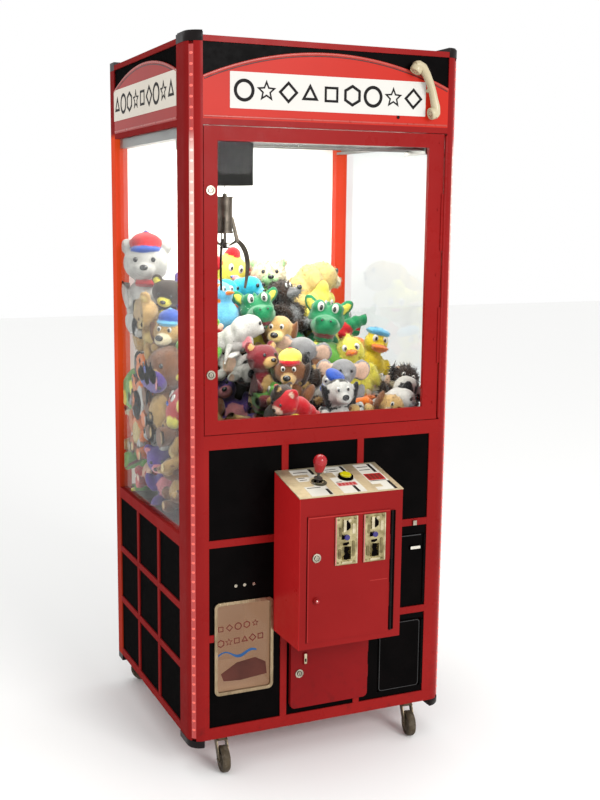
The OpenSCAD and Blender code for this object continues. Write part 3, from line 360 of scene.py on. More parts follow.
class Build:
    """Collects faces of several shapes, each with its own material, for one piece."""

    def __init__(self):
        self.verts, self.faces, self.picks = [], [], []

    def add(self, verts, faces, pick=0):
        start = len(self.verts)
        self.verts += [Vector(v) for v in verts]
        self.faces += [tuple(i + start for i in f) for f in faces]
        self.picks += [pick] * len(faces)
        return self

    def slab(self, outline, face, low, high, pick=0):
        """A flat outline in a plane given by face(u, v, h), from height low to high."""
        n = len(outline)
        verts = [face(u, v, low) for u, v in outline] + [face(u, v, high) for u, v in outline]
        sides = [(i, (i + 1) % n, n + (i + 1) % n, n + i) for i in range(n)]
        return self.add(verts, [tuple(reversed(range(n))), tuple(range(n, 2 * n))] + sides, pick)

    def ring(self, outer, inner, face, low, high, pick=0):
        """A flat band between two outlines with the same number of points."""
        n = len(outer)
        rows = [(outer, low), (outer, high), (inner, high), (inner, low)]
        verts = [face(u, v, h) for line, h in rows for u, v in line]
        return self.add(verts, bands(len(rows), n, True), pick)

    def sweep(self, path, sizes, side, pick=0, sides=12):
        """An oval tube along a path; side is the direction of its second half-width."""
        n = len(path)
        verts = []
        for i, p in enumerate(path):
            run = (path[min(i + 1, n - 1)] - path[max(i - 1, 0)]).normalized()
            across = run.cross(side).normalized()
            other = across.cross(run).normalized()
            a, b = sizes[i]
            for k in range(sides):
                t = 2 * math.pi * k / sides
                verts.append(p + across * (a * math.cos(t)) + other * (b * math.sin(t)))
        return self.add(verts, bands(n, sides) + ends(n, sides), pick)

    def lathe(self, base, axis, profile, pick=0, sides=24):
        """A turned shape: profile is (radius, distance along the axis) from end to end."""
        axis = axis.normalized()
        u = axis.orthogonal().normalized()
        w = axis.cross(u)
        verts = [base + axis * h + (u * math.cos(t) + w * math.sin(t)) * r
                 for r, h in profile for t in [2 * math.pi * k / sides for k in range(sides)]]
        n = len(profile)
        return self.add(verts, bands(n, sides) + ends(n, sides), pick)

    def done(self, name, materials, body="cabinet", slot=None, smooth=False, keep=30):
        obj = piece(name, self.verts, self.faces, materials, body, False, self.picks)
        fine = bmesh.new()
        fine.from_mesh(obj.data)
        bmesh.ops.recalc_face_normals(fine, faces=fine.faces)
        if smooth:
            limit = math.radians(keep)
            for e in fine.edges:
                e.smooth = not e.is_manifold or e.calc_face_angle(0) < limit
            for f in fine.faces:
                f.smooth = True
        fine.to_mesh(obj.data)
        fine.free()
        return obj


def oblong(u0, v0, u1, v1, r=0.0, steps=5):
    """A rectangle, with round corners if r is given."""
    if r <= 0:
        return [(u0, v0), (u1, v0), (u1, v1), (u0, v1)]
    out = []
    for cu, cv, start in ((u1 - r, v0 + r, -90), (u1 - r, v1 - r, 0), (u0 + r, v1 - r, 90), (u0 + r, v0 + r, 180)):
        for k in range(steps + 1):
            t = math.radians(start + 90 * k / steps)
            out.append((cu + r * math.cos(t), cv + r * math.sin(t)))
    return out


def round_points(cu, cv, r, n=32, phase=0.0, dent=None):
    """Points round a centre: a circle or polygon, or a star when dent gives the inner share."""
    out = []
    for k in range(n):
        t = math.radians(phase) + 2 * math.pi * k / n
        reach = r * (dent if dent and k % 2 else 1)
        out.append((cu + reach * math.cos(t), cv + reach * math.sin(t)))
    return out


def front_face(y=0):
    """Millimetres across and up on the front, with height towards the viewer."""
    return lambda u, v, h: at(u, y - h, v)


def left_face(u, v, h):
    return at(-h, 745 - 45 - u, v)


def right_face(u, v, h):
    return at(812 + h, 94 + u, v)


# ---------- marquee ----------

ARCH_R = 940
MARQUEE_Z = 1708


def arch_line(span, apex, shrink, base, steps=40):
    """The arc between the two ends of a marquee panel, closed along its foot."""
    r = ARCH_R - shrink
    low = apex - ARCH_R
    reach = span / 2 - max(shrink, 0) * 0.35
    arc = []
    for k in range(steps + 1):
        u = reach - 2 * reach * k / steps
        arc.append((span / 2 + u, low + math.sqrt(r * r - u * u)))
    return [(span / 2 - reach, base), (span / 2 + reach, base)] + arc


def symbol(shape, cu, cv, size):
    """Outer and inner outline of one plain sign symbol."""
    n, phase, dent, wall = {
        "ring": (40, 0, None, 0.70), "star": (10, 90, 0.45, 0.62), "gem": (4, 90, None, 0.66),
        "peak": (3, 90, None, 0.52), "box": (4, 45, None, 0.68), "hex": (6, 90, None, 0.70)}[shape]
    shift = -0.12 * size if shape == "peak" else 0
    outer = round_points(cu, cv + shift, size, n, phase, dent)
    return outer, [(cu + (u - cu) * wall, cv + shift + (v - cv - shift) * wall) for u, v in outer]


def make_marquee(name, face, span, apex, sign_u, sign_v, sign_len, symbols, m):
    """One lit arch with its raised rim, the pale sign and the row of symbols on it."""
    sign_h = 93
    fill = Build().slab(arch_line(span, apex, 0, MARQUEE_Z), face, -3.8, 0)
    fill = fill.done(f"{name}_arch", [m["marquee"]], slot="marquee_acrylic")
    rim = Build()
    for shrink, wide, high, pick in ((3.5, 3.2, 1.7, 0), (9.5, 1.6, 0.8, 1)):
        line = [p for p in arch_line(span, apex, shrink, MARQUEE_Z)[2:]]
        path = [face(u, v, 0) for u, v in line]
        out = (face(0, 0, 1) - face(0, 0, 0)).normalized()
        rim.sweep(path, [(wide / 1000, high / 1000)] * len(path), out, pick, 8)
    foot = [face(u, MARQUEE_Z + 6, 0) for u in np.linspace(2, span - 2, 12)]
    out = (face(0, 0, 1) - face(0, 0, 0)).normalized()
    rim.sweep(foot, [(0.0025, 0.0012)] * 12, out, 0, 8)
    rim.done(f"{name}_rim", [m["marquee_rim"], m["marquee_line"]], slot="marquee_acrylic", smooth=True)
    sign = Build().slab(oblong(sign_u, sign_v, sign_u + sign_len, sign_v + sign_h, 2), face, 0, 1.2)
    sign.done(f"{name}_sign", [m["sign_white"]], slot="marquee_acrylic")
    marks = Build()
    step = sign_len / (len(symbols) + 0.25)
    for i, shape in enumerate(symbols):
        cu = sign_u + step * (i + 0.625)
        marks.ring(*symbol(shape, cu, sign_v + sign_h / 2, min(31, step * 0.46)), face, 1.2, 1.8)
    marks.done(f"{name}_marks", [m["ink_black"]], slot="black_plastic")
    return fill


# ---------- receiver ----------

def make_handset(m):
    """Receiver: a bowed grip that swells into two caps, each with its rim and holes."""
    b = Build()
    y = -20
    line = [(650, 1871, 9, 13), (660, 1872, 12, 15), (674, 1865, 13, 15), (687, 1848, 11.5, 13), (699, 1826, 10.5, 11.5),
            (708, 1802, 10.5, 11.5), (714, 1780, 11, 12), (719, 1760, 12.5, 14), (719, 1744, 13, 15), (713, 1735, 10, 14)]
    fine = []
    for i in range(len(line) - 1):
        for k in range(4):
            fine.append(tuple(a + (c - a) * k / 4 for a, c in zip(line[i], line[i + 1])))
    fine.append(line[-1])
    path = [at(p[0], y, p[1]) for p in fine]
    b.sweep(path, [(p[2] / 1000, p[3] / 1000) for p in fine], Vector((0, -1, 0)), sides=20)
    for cx, cz, ax, az in ((659, 1866, -0.55, -0.83), (717, 1746, -0.96, -0.28)):
        axis = Vector((ax, 0, az)).normalized()
        profile = [(0.004, -0.006), (0.014, -0.004), (0.0165, 0.002), (0.0168, 0.012), (0.0155, 0.0155),
                   (0.0145, 0.0160), (0.0142, 0.0146), (0.003, 0.0146)]
        b.lathe(at(cx, y, cz), axis, profile, sides=32)
        u = axis.cross(Vector((0, 1, 0))).normalized()
        # The six holes in each cap are black discs of painted shade.
        for k in range(6):
            t = math.radians(60 * k)
            spot = at(cx, y, cz) + axis * 0.0143 + u * 0.007 * math.cos(t) + Vector((0, 1, 0)) * 0.007 * math.sin(t)
            b.lathe(spot, axis, [(0.0012, 0), (0.0012, 0.0008)], 1, 8)
    b.lathe(at(703, -3, 1806), Vector((0, -1, 0)), [(0.006, 0), (0.006, 0.012)], 0, 16)
    b.lathe(at(668, -3, 1860), Vector((0, -1, 0)), [(0.006, 0), (0.006, 0.012)], 0, 16)
    obj = b.done("handset_receiver", [m["cream"], m["ink_black"]], slot="cream_plastic", smooth=True, keep=50)
    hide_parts("handset")


# ---------- rope lights ----------

def make_rope_lights(m):
    """Small lamp domes in the light strip of each front post."""
    for side, sx, x in (("left", -1, 11.7), ("right", 1, 812 - 11.7)):
        b = Build()
        out = Vector((sx, -1, 0)).normalized()
        z = 34
        while z < 1880:
            b.lathe(at(x, 11.7, z) - out * 0.0012, out, [(0.0052, 0), (0.0048, 0.0012), (0.003, 0.0024), (0.001, 0.0028)], 0, 10)
            z += 27
        b.done(f"rope_lamps_{side}", [m["lamp"]], slot="red_lens", smooth=True, keep=60)
        w = Build()
        along = [at(x, 11.7, v) - out * 0.0006 for v in np.linspace(10, 1890, 90)]
        w.sweep(along, [(0.0045, 0.0015)] * 90, out, 0, 8)
        w.done(f"rope_tube_{side}", [m["rope"]], slot="red_lens", smooth=True, keep=60)


# ---------- plush toys ----------

BLACK = (0.012, 0.012, 0.014)
WHITE = (0.60, 0.59, 0.56)
CREAM = (0.80, 0.70, 0.48)
TAN = (0.60, 0.38, 0.14)
STRAW = (0.78, 0.58, 0.22)
BROWN = (0.22, 0.085, 0.03)
DARK = (0.045, 0.026, 0.018)
GREY = (0.30, 0.30, 0.31)
GREEN = (0.01, 0.24, 0.09)
LEAF = (0.14, 0.42, 0.06)
MINT = (0.42, 0.72, 0.34)
YELLOW = (0.92, 0.70, 0.03)
LEMON = (0.93, 0.84, 0.12)
ORANGE = (0.86, 0.20, 0.02)
RED = (0.60, 0.012, 0.02)
MAROON = (0.20, 0.012, 0.02)
PINK = (0.88, 0.32, 0.36)
PEACH = (0.92, 0.62, 0.46)
CYAN = (0.02, 0.42, 0.58)
SKY = (0.16, 0.52, 0.80)
BLUE = (0.03, 0.10, 0.50)
PURPLE = (0.12, 0.06, 0.34)


def both(colour, centre, radii, tilt=(0, 0, 0)):
    """A part and its mirror image."""
    x, y, z = centre
    a, b, c = tilt
    return [(colour, (x, y, z), radii, (a, b, c)), (colour, (-x, y, z), radii, (a, -b, -c))]


def one(colour, centre, radii, tilt=(0, 0, 0)):
    return [(colour, centre, radii, tilt)]


def sitting(fur, belly, sole):
    """Body, arms and legs that most of the toys share, one unit tall with the head."""
    return (one(fur, (0, 0, 0.30), (0.23, 0.20, 0.29)) + one(belly, (0, -0.10, 0.30), (0.165, 0.125, 0.21))
            + both(fur, (0.26, -0.09, 0.40), (0.08, 0.10, 0.19), (-35, 28, 0))
            + both(fur, (0.17, -0.26, 0.10), (0.105, 0.21, 0.105), (6, 0, -14))
            + both(sole, (0.215, -0.44, 0.11), (0.075, 0.035, 0.075)))


def bear(fur, light, dark):
    parts = sitting(fur, light, light) + one(fur, (0, -0.03, 0.74), (0.25, 0.22, 0.215))
    parts += one(light, (0, -0.21, 0.675), (0.115, 0.10, 0.085)) + both(fur, (0.20, 0.0, 0.92), (0.085, 0.05, 0.085))
    parts += both(light, (0.20, -0.035, 0.92), (0.05, 0.03, 0.05))
    eyes = one(BLACK, (0, -0.305, 0.705), (0.045, 0.03, 0.032)) + both(BLACK, (0.095, -0.225, 0.785), (0.026, 0.018, 0.028))
    return parts, eyes


def lizard(fur, light, dark):
    parts = sitting(fur, light, light) + one(fur, (0, 0.0, 0.70), (0.22, 0.20, 0.165))
    parts += both(fur, (0.10, -0.06, 0.83), (0.085, 0.09, 0.09)) + one(fur, (0, -0.27, 0.64), (0.175, 0.25, 0.12))
    parts += both(fur, (0.20, 0.03, 0.86), (0.075, 0.045, 0.12), (0, 38, 0))
    parts += both(light, (0.205, 0.0, 0.86), (0.04, 0.03, 0.075), (0, 38, 0))
    parts += both(fur, (0.075, -0.45, 0.705), (0.06, 0.06, 0.05)) + one(dark, (0, -0.26, 0.55), (0.135, 0.20, 0.05))
    parts += one(fur, (0, -0.24, 0.49), (0.13, 0.17, 0.04)) + one(fur, (0, 0.26, 0.14), (0.13, 0.24, 0.12))
    parts += [(fur, (0, 0.06 + 0.07 * k, 0.86 - 0.16 * k), (0.03, 0.06, 0.06), (0, 0, 0)) for k in range(4)]
    eyes = both(WHITE, (0.085, -0.135, 0.845), (0.042, 0.028, 0.06)) + both(BLACK, (0.078, -0.158, 0.838), (0.02, 0.012, 0.034))
    eyes += both(BLACK, (0.05, -0.505, 0.715), (0.014, 0.008, 0.012))
    return parts, eyes


def chick(fur, light, dark):
    parts = one(fur, (0, 0, 0.33), (0.30, 0.28, 0.32)) + one(fur, (0, -0.03, 0.76), (0.22, 0.21, 0.21))
    parts += both(fur, (0.31, 0.0, 0.38), (0.07, 0.15, 0.20), (0, -14, 0)) + one(dark, (0, -0.24, 0.74), (0.085, 0.11, 0.035))
    parts += both(dark, (0.14, -0.26, 0.045), (0.115, 0.17, 0.045), (0, 0, -16)) + one(fur, (0, 0.02, 0.98), (0.05, 0.05, 0.06))
    eyes = both(WHITE, (0.09, -0.20, 0.82), (0.045, 0.03, 0.055)) + both(BLACK, (0.085, -0.222, 0.815), (0.022, 0.014, 0.03))
    return parts, eyes


def dog(fur, light, dark):
    parts = sitting(fur, light, light) + one(fur, (0, -0.02, 0.74), (0.22, 0.21, 0.20))
    parts += one(light, (0, -0.24, 0.665), (0.12, 0.15, 0.09)) + both(dark, (0.235, 0.0, 0.70), (0.05, 0.095, 0.19), (0, 14, 0))
    parts += one(fur, (0, 0.24, 0.24), (0.05, 0.14, 0.05), (35, 0, 0))
    eyes = one(BLACK, (0, -0.385, 0.715), (0.06, 0.04, 0.045)) + both(WHITE, (0.08, -0.20, 0.81), (0.034, 0.024, 0.042))
    eyes += both(BLACK, (0.077, -0.218, 0.806), (0.02, 0.012, 0.027))
    return parts, eyes


def duck(fur, light, dark):
    parts = one(fur, (0, 0.02, 0.30), (0.27, 0.30, 0.28)) + one(fur, (0, -0.04, 0.72), (0.20, 0.19, 0.20))
    parts += one(dark, (0, -0.27, 0.66), (0.14, 0.15, 0.035)) + one(dark, (0, -0.24, 0.62), (0.11, 0.12, 0.03))
    parts += one(light, (0, -0.02, 0.90), (0.205, 0.19, 0.07)) + both(fur, (0.28, 0.0, 0.32), (0.06, 0.17, 0.17))
    eyes = both(WHITE, (0.085, -0.185, 0.79), (0.05, 0.03, 0.06)) + both(BLACK, (0.08, -0.21, 0.785), (0.022, 0.014, 0.034))
    return parts, eyes


def elephant(fur, light, dark):
    parts = sitting(fur, light, light) + one(fur, (0, 0, 0.74), (0.21, 0.20, 0.20))
    parts += both(fur, (0.30, 0.02, 0.76), (0.15, 0.045, 0.18))
    parts += both(dark, (0.30, -0.015, 0.76), (0.11, 0.03, 0.14))
    parts += [(fur, (0, -0.20 - 0.045 * k, 0.70 - 0.085 * k), (0.075 - 0.008 * k,) * 3, (0, 0, 0)) for k in range(5)]
    return parts, both(BLACK, (0.09, -0.19, 0.80), (0.022, 0.015, 0.028))


def seal(fur, light, dark):
    parts = [(fur, (0, 0.42 - 0.14 * k, 0.16 + 0.012 * k * k), (0.10 + 0.028 * k, 0.15, 0.09 + 0.024 * k), (0, 0, 0))
             for k in range(6)]
    parts += one(fur, (0, -0.42, 0.52), (0.19, 0.19, 0.18)) + one(light, (0, -0.58, 0.47), (0.10, 0.07, 0.07))
    parts += both(fur, (0.25, -0.22, 0.12), (0.18, 0.08, 0.03), (0, 12, 20))
    parts += both(fur, (0.12, 0.62, 0.12), (0.10, 0.13, 0.03), (0, 0, 25))
    eyes = one(BLACK, (0, -0.645, 0.50), (0.035, 0.02, 0.025)) + both(BLACK, (0.085, -0.585, 0.575), (0.03, 0.02, 0.032))
    return parts, eyes


def cushion(fur, light, dark):
    """A stuffed star or cube head with a face."""
    parts = one(fur, (0, 0, 0.45), (0.34, 0.20, 0.34))
    parts += [(light, (0.30 * math.cos(t), 0, 0.45 + 0.30 * math.sin(t)), (0.15, 0.13, 0.15), (0, 0, 0))
              for t in [math.radians(90 + 72 * k) for k in range(5)]]
    eyes = both(WHITE, (0.10, -0.185, 0.53), (0.05, 0.03, 0.07)) + both(BLACK, (0.095, -0.21, 0.52), (0.024, 0.014, 0.036))
    eyes += one(dark, (0, -0.20, 0.38), (0.10, 0.02, 0.03))
    return parts, eyes


def ball(fur, light, dark):
    parts = one(fur, (0, 0, 0.42), (0.42, 0.42, 0.42))
    spots = [(dark, (0.36 * math.cos(a) * math.cos(b), 0.36 * math.sin(a) * math.cos(b), 0.42 + 0.36 * math.sin(b)),
              (0.13,) * 3, (0, 0, 0))
             for a, b in [(math.radians(p), math.radians(q)) for p, q in
                          ((-90, 0), (-30, 35), (-150, 35), (-60, -50), (-120, -50), (30, -10), (150, -10), (90, 40))]]
    return parts + spots, []


def horn(fur, light, dark):
    """A long tapering tail or sleeve with a band at its foot."""
    parts = [(fur if k > 1 else dark, (0.02 * k * k, 0, 0.10 + 0.13 * k),
              (0.21 - 0.022 * k, 0.20 - 0.022 * k, 0.14), (0, 8 * k, 0)) for k in range(7)]
    return parts, []


def cap(colour, band, z=0.95, r=0.17):
    """A small cap for a toy's head."""
    crown = one(colour, (0, -0.02, z), (r, r, r * 0.75))
    peak = one(band, (0, -0.13, z - 0.055), (r * 0.95, r * 0.7, 0.035))
    return crown + peak + one(band, (0, -0.02, z + r * 0.75), (0.03, 0.03, 0.025))


BALL = None


def unit_ball():
    """A finely divided sphere, as vertices and triangles."""
    global BALL
    if BALL is None:
        made = bmesh.new()
        bmesh.ops.create_icosphere(made, subdivisions=3, radius=1)
        BALL = (np.array([v.co for v in made.verts]), [tuple(v.index for v in f.verts) for f in made.faces])
        made.free()
    return BALL


def part_frame(part, size):
    """Centre, turn and half-widths of one part of a toy, in metres in the toy's own frame."""
    _, centre, radii, tilt = part
    turn = np.array(Euler([math.radians(t) for t in tilt]).to_matrix())
    return np.array(centre) * size, turn, np.array(radii) * size


def swell(parts, size, voxel):
    """One closed skin round all the parts."""
    dots, tris = unit_ball()
    verts, faces = [], []
    for part in parts:
        centre, turn, radii = part_frame(part, size)
        start = len(verts)
        verts += [tuple(p) for p in (dots * radii) @ turn.T + centre]
        faces += [tuple(i + start for i in f) for f in tris]
    mesh = bpy.data.meshes.new("skin")
    mesh.from_pydata(verts, [], faces)
    obj = bpy.data.objects.new("skin", mesh)
    bpy.context.scene.collection.objects.link(obj)
    grid = obj.modifiers.new("grid", "REMESH")
    grid.mode = "VOXEL"
    grid.voxel_size = voxel
    soft = obj.modifiers.new("soft", "SMOOTH")
    soft.factor, soft.iterations = 0.6, 4
    made = bpy.data.meshes.new_from_object(obj.evaluated_get(bpy.context.evaluated_depsgraph_get()))
    bpy.data.objects.remove(obj)
    co = np.array([v.co for v in made.vertices])
    rows = [tuple(p.vertices) for p in made.polygons]
    normals = np.array([v.normal for v in made.vertices])
    bpy.data.meshes.remove(made)
    return co, rows, normals


def nearest_colour(co, parts, size):
    """The colour of the part whose surface each point lies on."""
    best = np.full(len(co), 9.0)
    tint = np.zeros((len(co), 3))
    for part in parts:
        centre, turn, radii = part_frame(part, size)
        local = (co - centre) @ turn / radii
        depth = (np.linalg.norm(local, axis=1) - 1) * radii.min()
        closer = depth < best + 1e-5
        best = np.where(closer, depth, best)
        tint[closer] = part[0]
    return tint


def keep_inside(p):
    """Points pressed flat against the glass, the walls and the chute guard, in millimetres."""
    x, y, z = p[:, 0], p[:, 1], p[:, 2]
    z[:] = np.maximum(z, 582)
    wide = (y > 96) & (y < 698)
    x[:] = np.clip(x, np.where(wide, 14.5, 42), np.where(wide, 797.5, 770))
    y[:] = np.clip(y, 31, 727)
    corner = (x < 42) | (x > 770)
    y[:] = np.where(corner, np.clip(y, 96, 698), y)
    low = (z < 1044) & (x > 50) & (x < 272) & (y > 49) & (y < 271)
    right, back = 272 - x, 271 - y
    x[:] = np.where(low & (right <= back), 272, x)
    y[:] = np.where(low & (right > back), 271, y)
    return p


def make_toy(name, kind, colours, place, size, turn=(0, 0, 0), pattern=None, shaggy=0, extra=(), voxel=4.5):
    """One plush toy: place is the middle of the toy in millimetres, size its height, turn its tilt in degrees."""
    seed = random.Random(name)
    fur, light, dark = colours
    parts, hard = kind(fur, light, dark)
    parts = parts + list(extra)
    size /= 1000
    co, rows, normals = swell(parts, size, voxel / 1000)
    tint = nearest_colour(co, parts, size)
    shift = Vector((seed.uniform(-9, 9), seed.uniform(-9, 9), seed.uniform(-9, 9)))
    lump = np.array([noise.noise(Vector(p) * 26 + shift) for p in co])
    co = co + normals * (lump * 0.0035)[:, None]
    if pattern == "stripes":
        wave = np.sin(co[:, 2] * 150 + lump * 5 + co[:, 0] * 25)
        tint[(wave > 0.45) & (co[:, 1] > -0.12 * size)] = dark
    if pattern == "spots":
        spot = np.array([noise.cell(Vector(p) * 38 + shift) for p in co])
        tint[spot > 0.62] = dark
    shade = np.array([0.5 + 0.5 * noise.noise(Vector(p) * 55 + shift) for p in co])
    tint = tint * (0.82 + 0.3 * shade)[:, None]
    verts, faces, picks, tints = [co], list(rows), [0] * len(rows), [tint]
    count = len(co)
    dots, tris = unit_ball()
    for part in hard:
        centre, spin, radii = part_frame(part, size)
        verts.append((dots * radii) @ spin.T + centre)
        tints.append(np.tile(part[0], (len(dots), 1)))
        faces += [tuple(i + count for i in f) for f in tris]
        picks += [1] * len(tris)
        count += len(dots)
    if shaggy:
        tufts, base = [], []
        for _ in range(1800):
            i = seed.randrange(len(co))
            n = Vector(normals[i])
            lean = (n + Vector((seed.uniform(-.6, .6), seed.uniform(-.6, .6), seed.uniform(-.9, .3)))).normalized()
            across = n.orthogonal().normalized() * 0.0015
            other = n.cross(across)
            root = Vector(co[i]) - n * 0.001
            tip = root + lean * shaggy / 1000 * seed.uniform(0.5, 1.1)
            tufts += [root + across, root - across * 0.5 + other * 0.87, root - across * 0.5 - other * 0.87, tip]
            base += [tint[i] * seed.uniform(0.7, 1.25)] * 4
        verts.append(np.array(tufts))
        tints.append(np.clip(np.array(base), 0, 1))
        faces += [tuple(count + k + i for i in side) for k in range(0, len(tufts), 4)
                  for side in ((2, 1, 0), (0, 1, 3), (1, 2, 3), (2, 0, 3))]
        picks += [0] * len(tufts)
    co = np.vstack(verts)
    co[:, 2] -= 0.45 * size
    spin = np.array(Euler([math.radians(t) for t in turn]).to_matrix())
    spot = keep_inside(co @ spin.T * 1000 + np.array(place, float))
    world = spot / 1000 + np.array(CORNER)
    obj = piece(name, world, faces, [MATERIALS["pile"], MATERIALS["bead"]], "cabinet", True, picks)
    layer = obj.data.attributes.new("tint", "FLOAT_COLOR", "POINT")
    flat = np.hstack([np.vstack(tints), np.ones((len(co), 1))]).astype(np.float32)
    layer.data.foreach_set("color", flat.ravel())
    return obj


def heap_top(x, y):
    """Height of the heap of toys over the bed, in millimetres."""
    rows = [(60, (955, 960, 960, 925, 905)), (200, (1010, 1010, 1010, 985, 935)), (350, (1110, 1120, 1100, 1080, 990)),
            (500, (1180, 1190, 1190, 1130, 1010)), (650, (1250, 1270, 1240, 1170, 1030))]
    columns = (40, 260, 440, 620, 770)
    levels = [np.interp(x, columns, row) for _, row in rows]
    return float(np.interp(y, [r[0] for r in rows], levels))


HEROES = [
    ("bear_white", bear, (WHITE, WHITE, WHITE), (84, 656, 1225), 290, (0, 0, -22),
     {"extra": cap(RED, BLUE) + one(RED, (0, -0.13, 0.53), (0.13, 0.09, 0.035))}),
    ("ball_spotted_a", ball, (WHITE, WHITE, BLACK), (40, 560, 1120), 96, (10, 0, 20), {}),
    ("monkey_dark", bear, (DARK, LEMON, DARK), (118, 560, 1170), 200, (20, 12, -30), {}),
    ("bear_tan", bear, (TAN, STRAW, TAN), (62, 520, 1110), 220, (25, -20, -60), {"shaggy": 9}),
    ("dog_blue_cap", dog, (TAN, CREAM, BROWN), (92, 460, 1050), 210, (5, 5, -40), {"extra": cap(BLUE, SKY)}),
    ("snake_purple", seal, (PURPLE, PINK, BLUE), (48, 440, 985), 190, (30, 70, 0), {"pattern": "stripes"}),
    ("tiger_orange", dog, (ORANGE, WHITE, BLACK), (45, 520, 930), 240, (0, 10, -70), {"pattern": "stripes"}),
    ("bear_brown_big", bear, (BROWN, TAN, BROWN), (80, 400, 920), 300, (0, 0, -65), {"shaggy": 8}),
    ("dog_orange", dog, (ORANGE, STRAW, BROWN), (45, 560, 820), 220, (15, 10, -80), {"shaggy": 10}),
    ("clown_behind", cushion, (LEMON, RED, BLUE), (365, 650, 1275), 190, (0, 10, 10), {}),
    ("fish_cyan", seal, (CYAN, SKY, BLUE), (318, 585, 1215), 230, (0, 0, 40), {}),
    ("dog_cyan", elephant, (CYAN, SKY, PINK), (300, 520, 1165), 200, (0, 0, 25), {}),
    ("pig_pink", bear, (PINK, PEACH, PINK), (385, 570, 1190), 150, (10, 0, -10), {}),
    ("penguin_blue", chick, (SKY, WHITE, ORANGE), (265, 450, 1170), 170, (-10, 0, 20), {"pattern": "stripes"}),
    ("seal_white", seal, (WHITE, WHITE, BLACK), (225, 350, 1120), 200, (0, 0, 60), {}),
    ("frog_cream", bear, (CREAM, MINT, LEAF), (470, 575, 1200), 230, (-8, 0, -15),
     {"shaggy": 14, "extra": one(LEAF, (0, -0.1, 0.42), (0.26, 0.22, 0.16))}),
    ("camel_tan", seal, (STRAW, CREAM, TAN), (560, 640, 1235), 300, (0, 18, 84), {"shaggy": 10}),
    ("skunk_black", dog, (DARK, GREY, BLACK), (492, 490, 1165), 190, (-20, 0, 40), {"shaggy": 18}),
    ("lizard_left", lizard, (GREEN, LEMON, MAROON), (372, 415, 1110), 250, (-4, -6, -12), {}),
    ("bear_muzzle", dog, (TAN, STRAW, BROWN), (405, 335, 1060), 205, (4, 0, -34), {}),
    ("cushion_yellow", cushion, (LEMON, LEMON, RED), (655, 580, 1165), 190, (10, 0, 35), {}),
    ("horn_green", horn, (GREEN, GREEN, RED), (738, 520, 1120), 150, (0, 28, 0), {}),
    ("lizard_right", lizard, (GREEN, LEMON, MAROON), (585, 400, 1070), 270, (-2, 8, -26), {}),
    ("fish_orange_brown", ball, (BROWN, TAN, TAN), (502, 265, 985), 130, (40, 20, 0), {}),
    ("dino_far", lizard, (GREEN, LEAF, RED), (750, 600, 1060), 190, (0, 20, 60), {}),
    ("chick_yellow", chick, (LEMON, LEMON, ORANGE), (622, 262, 985), 205, (-8, -8, -20), {"shaggy": 12}),
    ("duck_cap", duck, (YELLOW, SKY, ORANGE), (730, 345, 1015), 190, (0, 14, -8), {"shaggy": 6}),
    ("bunny_peach", bear, (PEACH, CREAM, PINK), (722, 250, 930), 150, (0, 60, -20), {}),
    ("dog_shaggy", dog, (DARK, GREY, BLACK), (762, 210, 915), 190, (0, 20, -30), {"shaggy": 22}),
    ("seal_helmet", seal, (WHITE, GREY, BLACK), (655, 150, 925), 190, (10, 0, 35), {}),
    ("dog_front", dog, (BROWN, TAN, DARK), (375, 180, 955), 200, (5, 0, -32), {"extra": cap(LEMON, RED)}),
    ("lion_red", bear, (MAROON, TAN, RED), (312, 235, 985), 200, (-10, 0, 12), {}),
    ("seal_red", seal, (RED, LEMON, RED), (410, 92, 915), 170, (0, 0, -80), {}),
    ("duckling", duck, (LEMON, LEMON, ORANGE), (338, 75, 905), 90, (0, 0, -25), {}),
    ("parrot_blue", duck, (WHITE, BLUE, BLUE), (492, 175, 945), 150, (20, 30, -40), {}),
    ("star_orange", cushion, (ORANGE, ORANGE, BLACK), (575, 130, 905), 110, (60, 0, 20), {}),
    ("ball_small", ball, (TAN, TAN, BROWN), (535, 85, 895), 66, (0, 0, 0), {}),
    ("bear_dark_front", bear, (DARK, TAN, BROWN), (300, 110, 915), 150, (20, 0, 30), {}),
    ("ball_spotted_b", ball, (WHITE, WHITE, BLACK), (285, 300, 1000), 100, (0, 30, 0), {}),
    ("elephant_white", elephant, (WHITE, PEACH, PINK), (255, 330, 1040), 150, (0, 0, -50), {}),
]

FILL_KINDS = [
    (bear, (BROWN, TAN, DARK), None, 0), (dog, (TAN, CREAM, BROWN), None, 7), (bear, (STRAW, CREAM, TAN), None, 9),
    (dog, (WHITE, WHITE, BLACK), "spots", 0), (dog, (ORANGE, WHITE, BLACK), "stripes", 0),
    (lizard, (LEAF, LEMON, MAROON), None, 0),
    (elephant, (GREY, PINK, PEACH), None, 0), (bear, (PURPLE, PINK, BLUE), None, 0), (cushion, (RED, LEMON, BLUE), None, 0),
    (seal, (SKY, WHITE, BLUE), None, 0), (dog, (WHITE, WHITE, BLACK), "stripes", 0), (chick, (LEMON, LEMON, ORANGE), None, 10),
    (bear, (TAN, STRAW, BROWN), "spots", 0), (ball, (LEAF, LEAF, LEMON), None, 0), (bear, (RED, PEACH, RED), None, 0),
    (dog, (DARK, TAN, BLACK), None, 12),
]


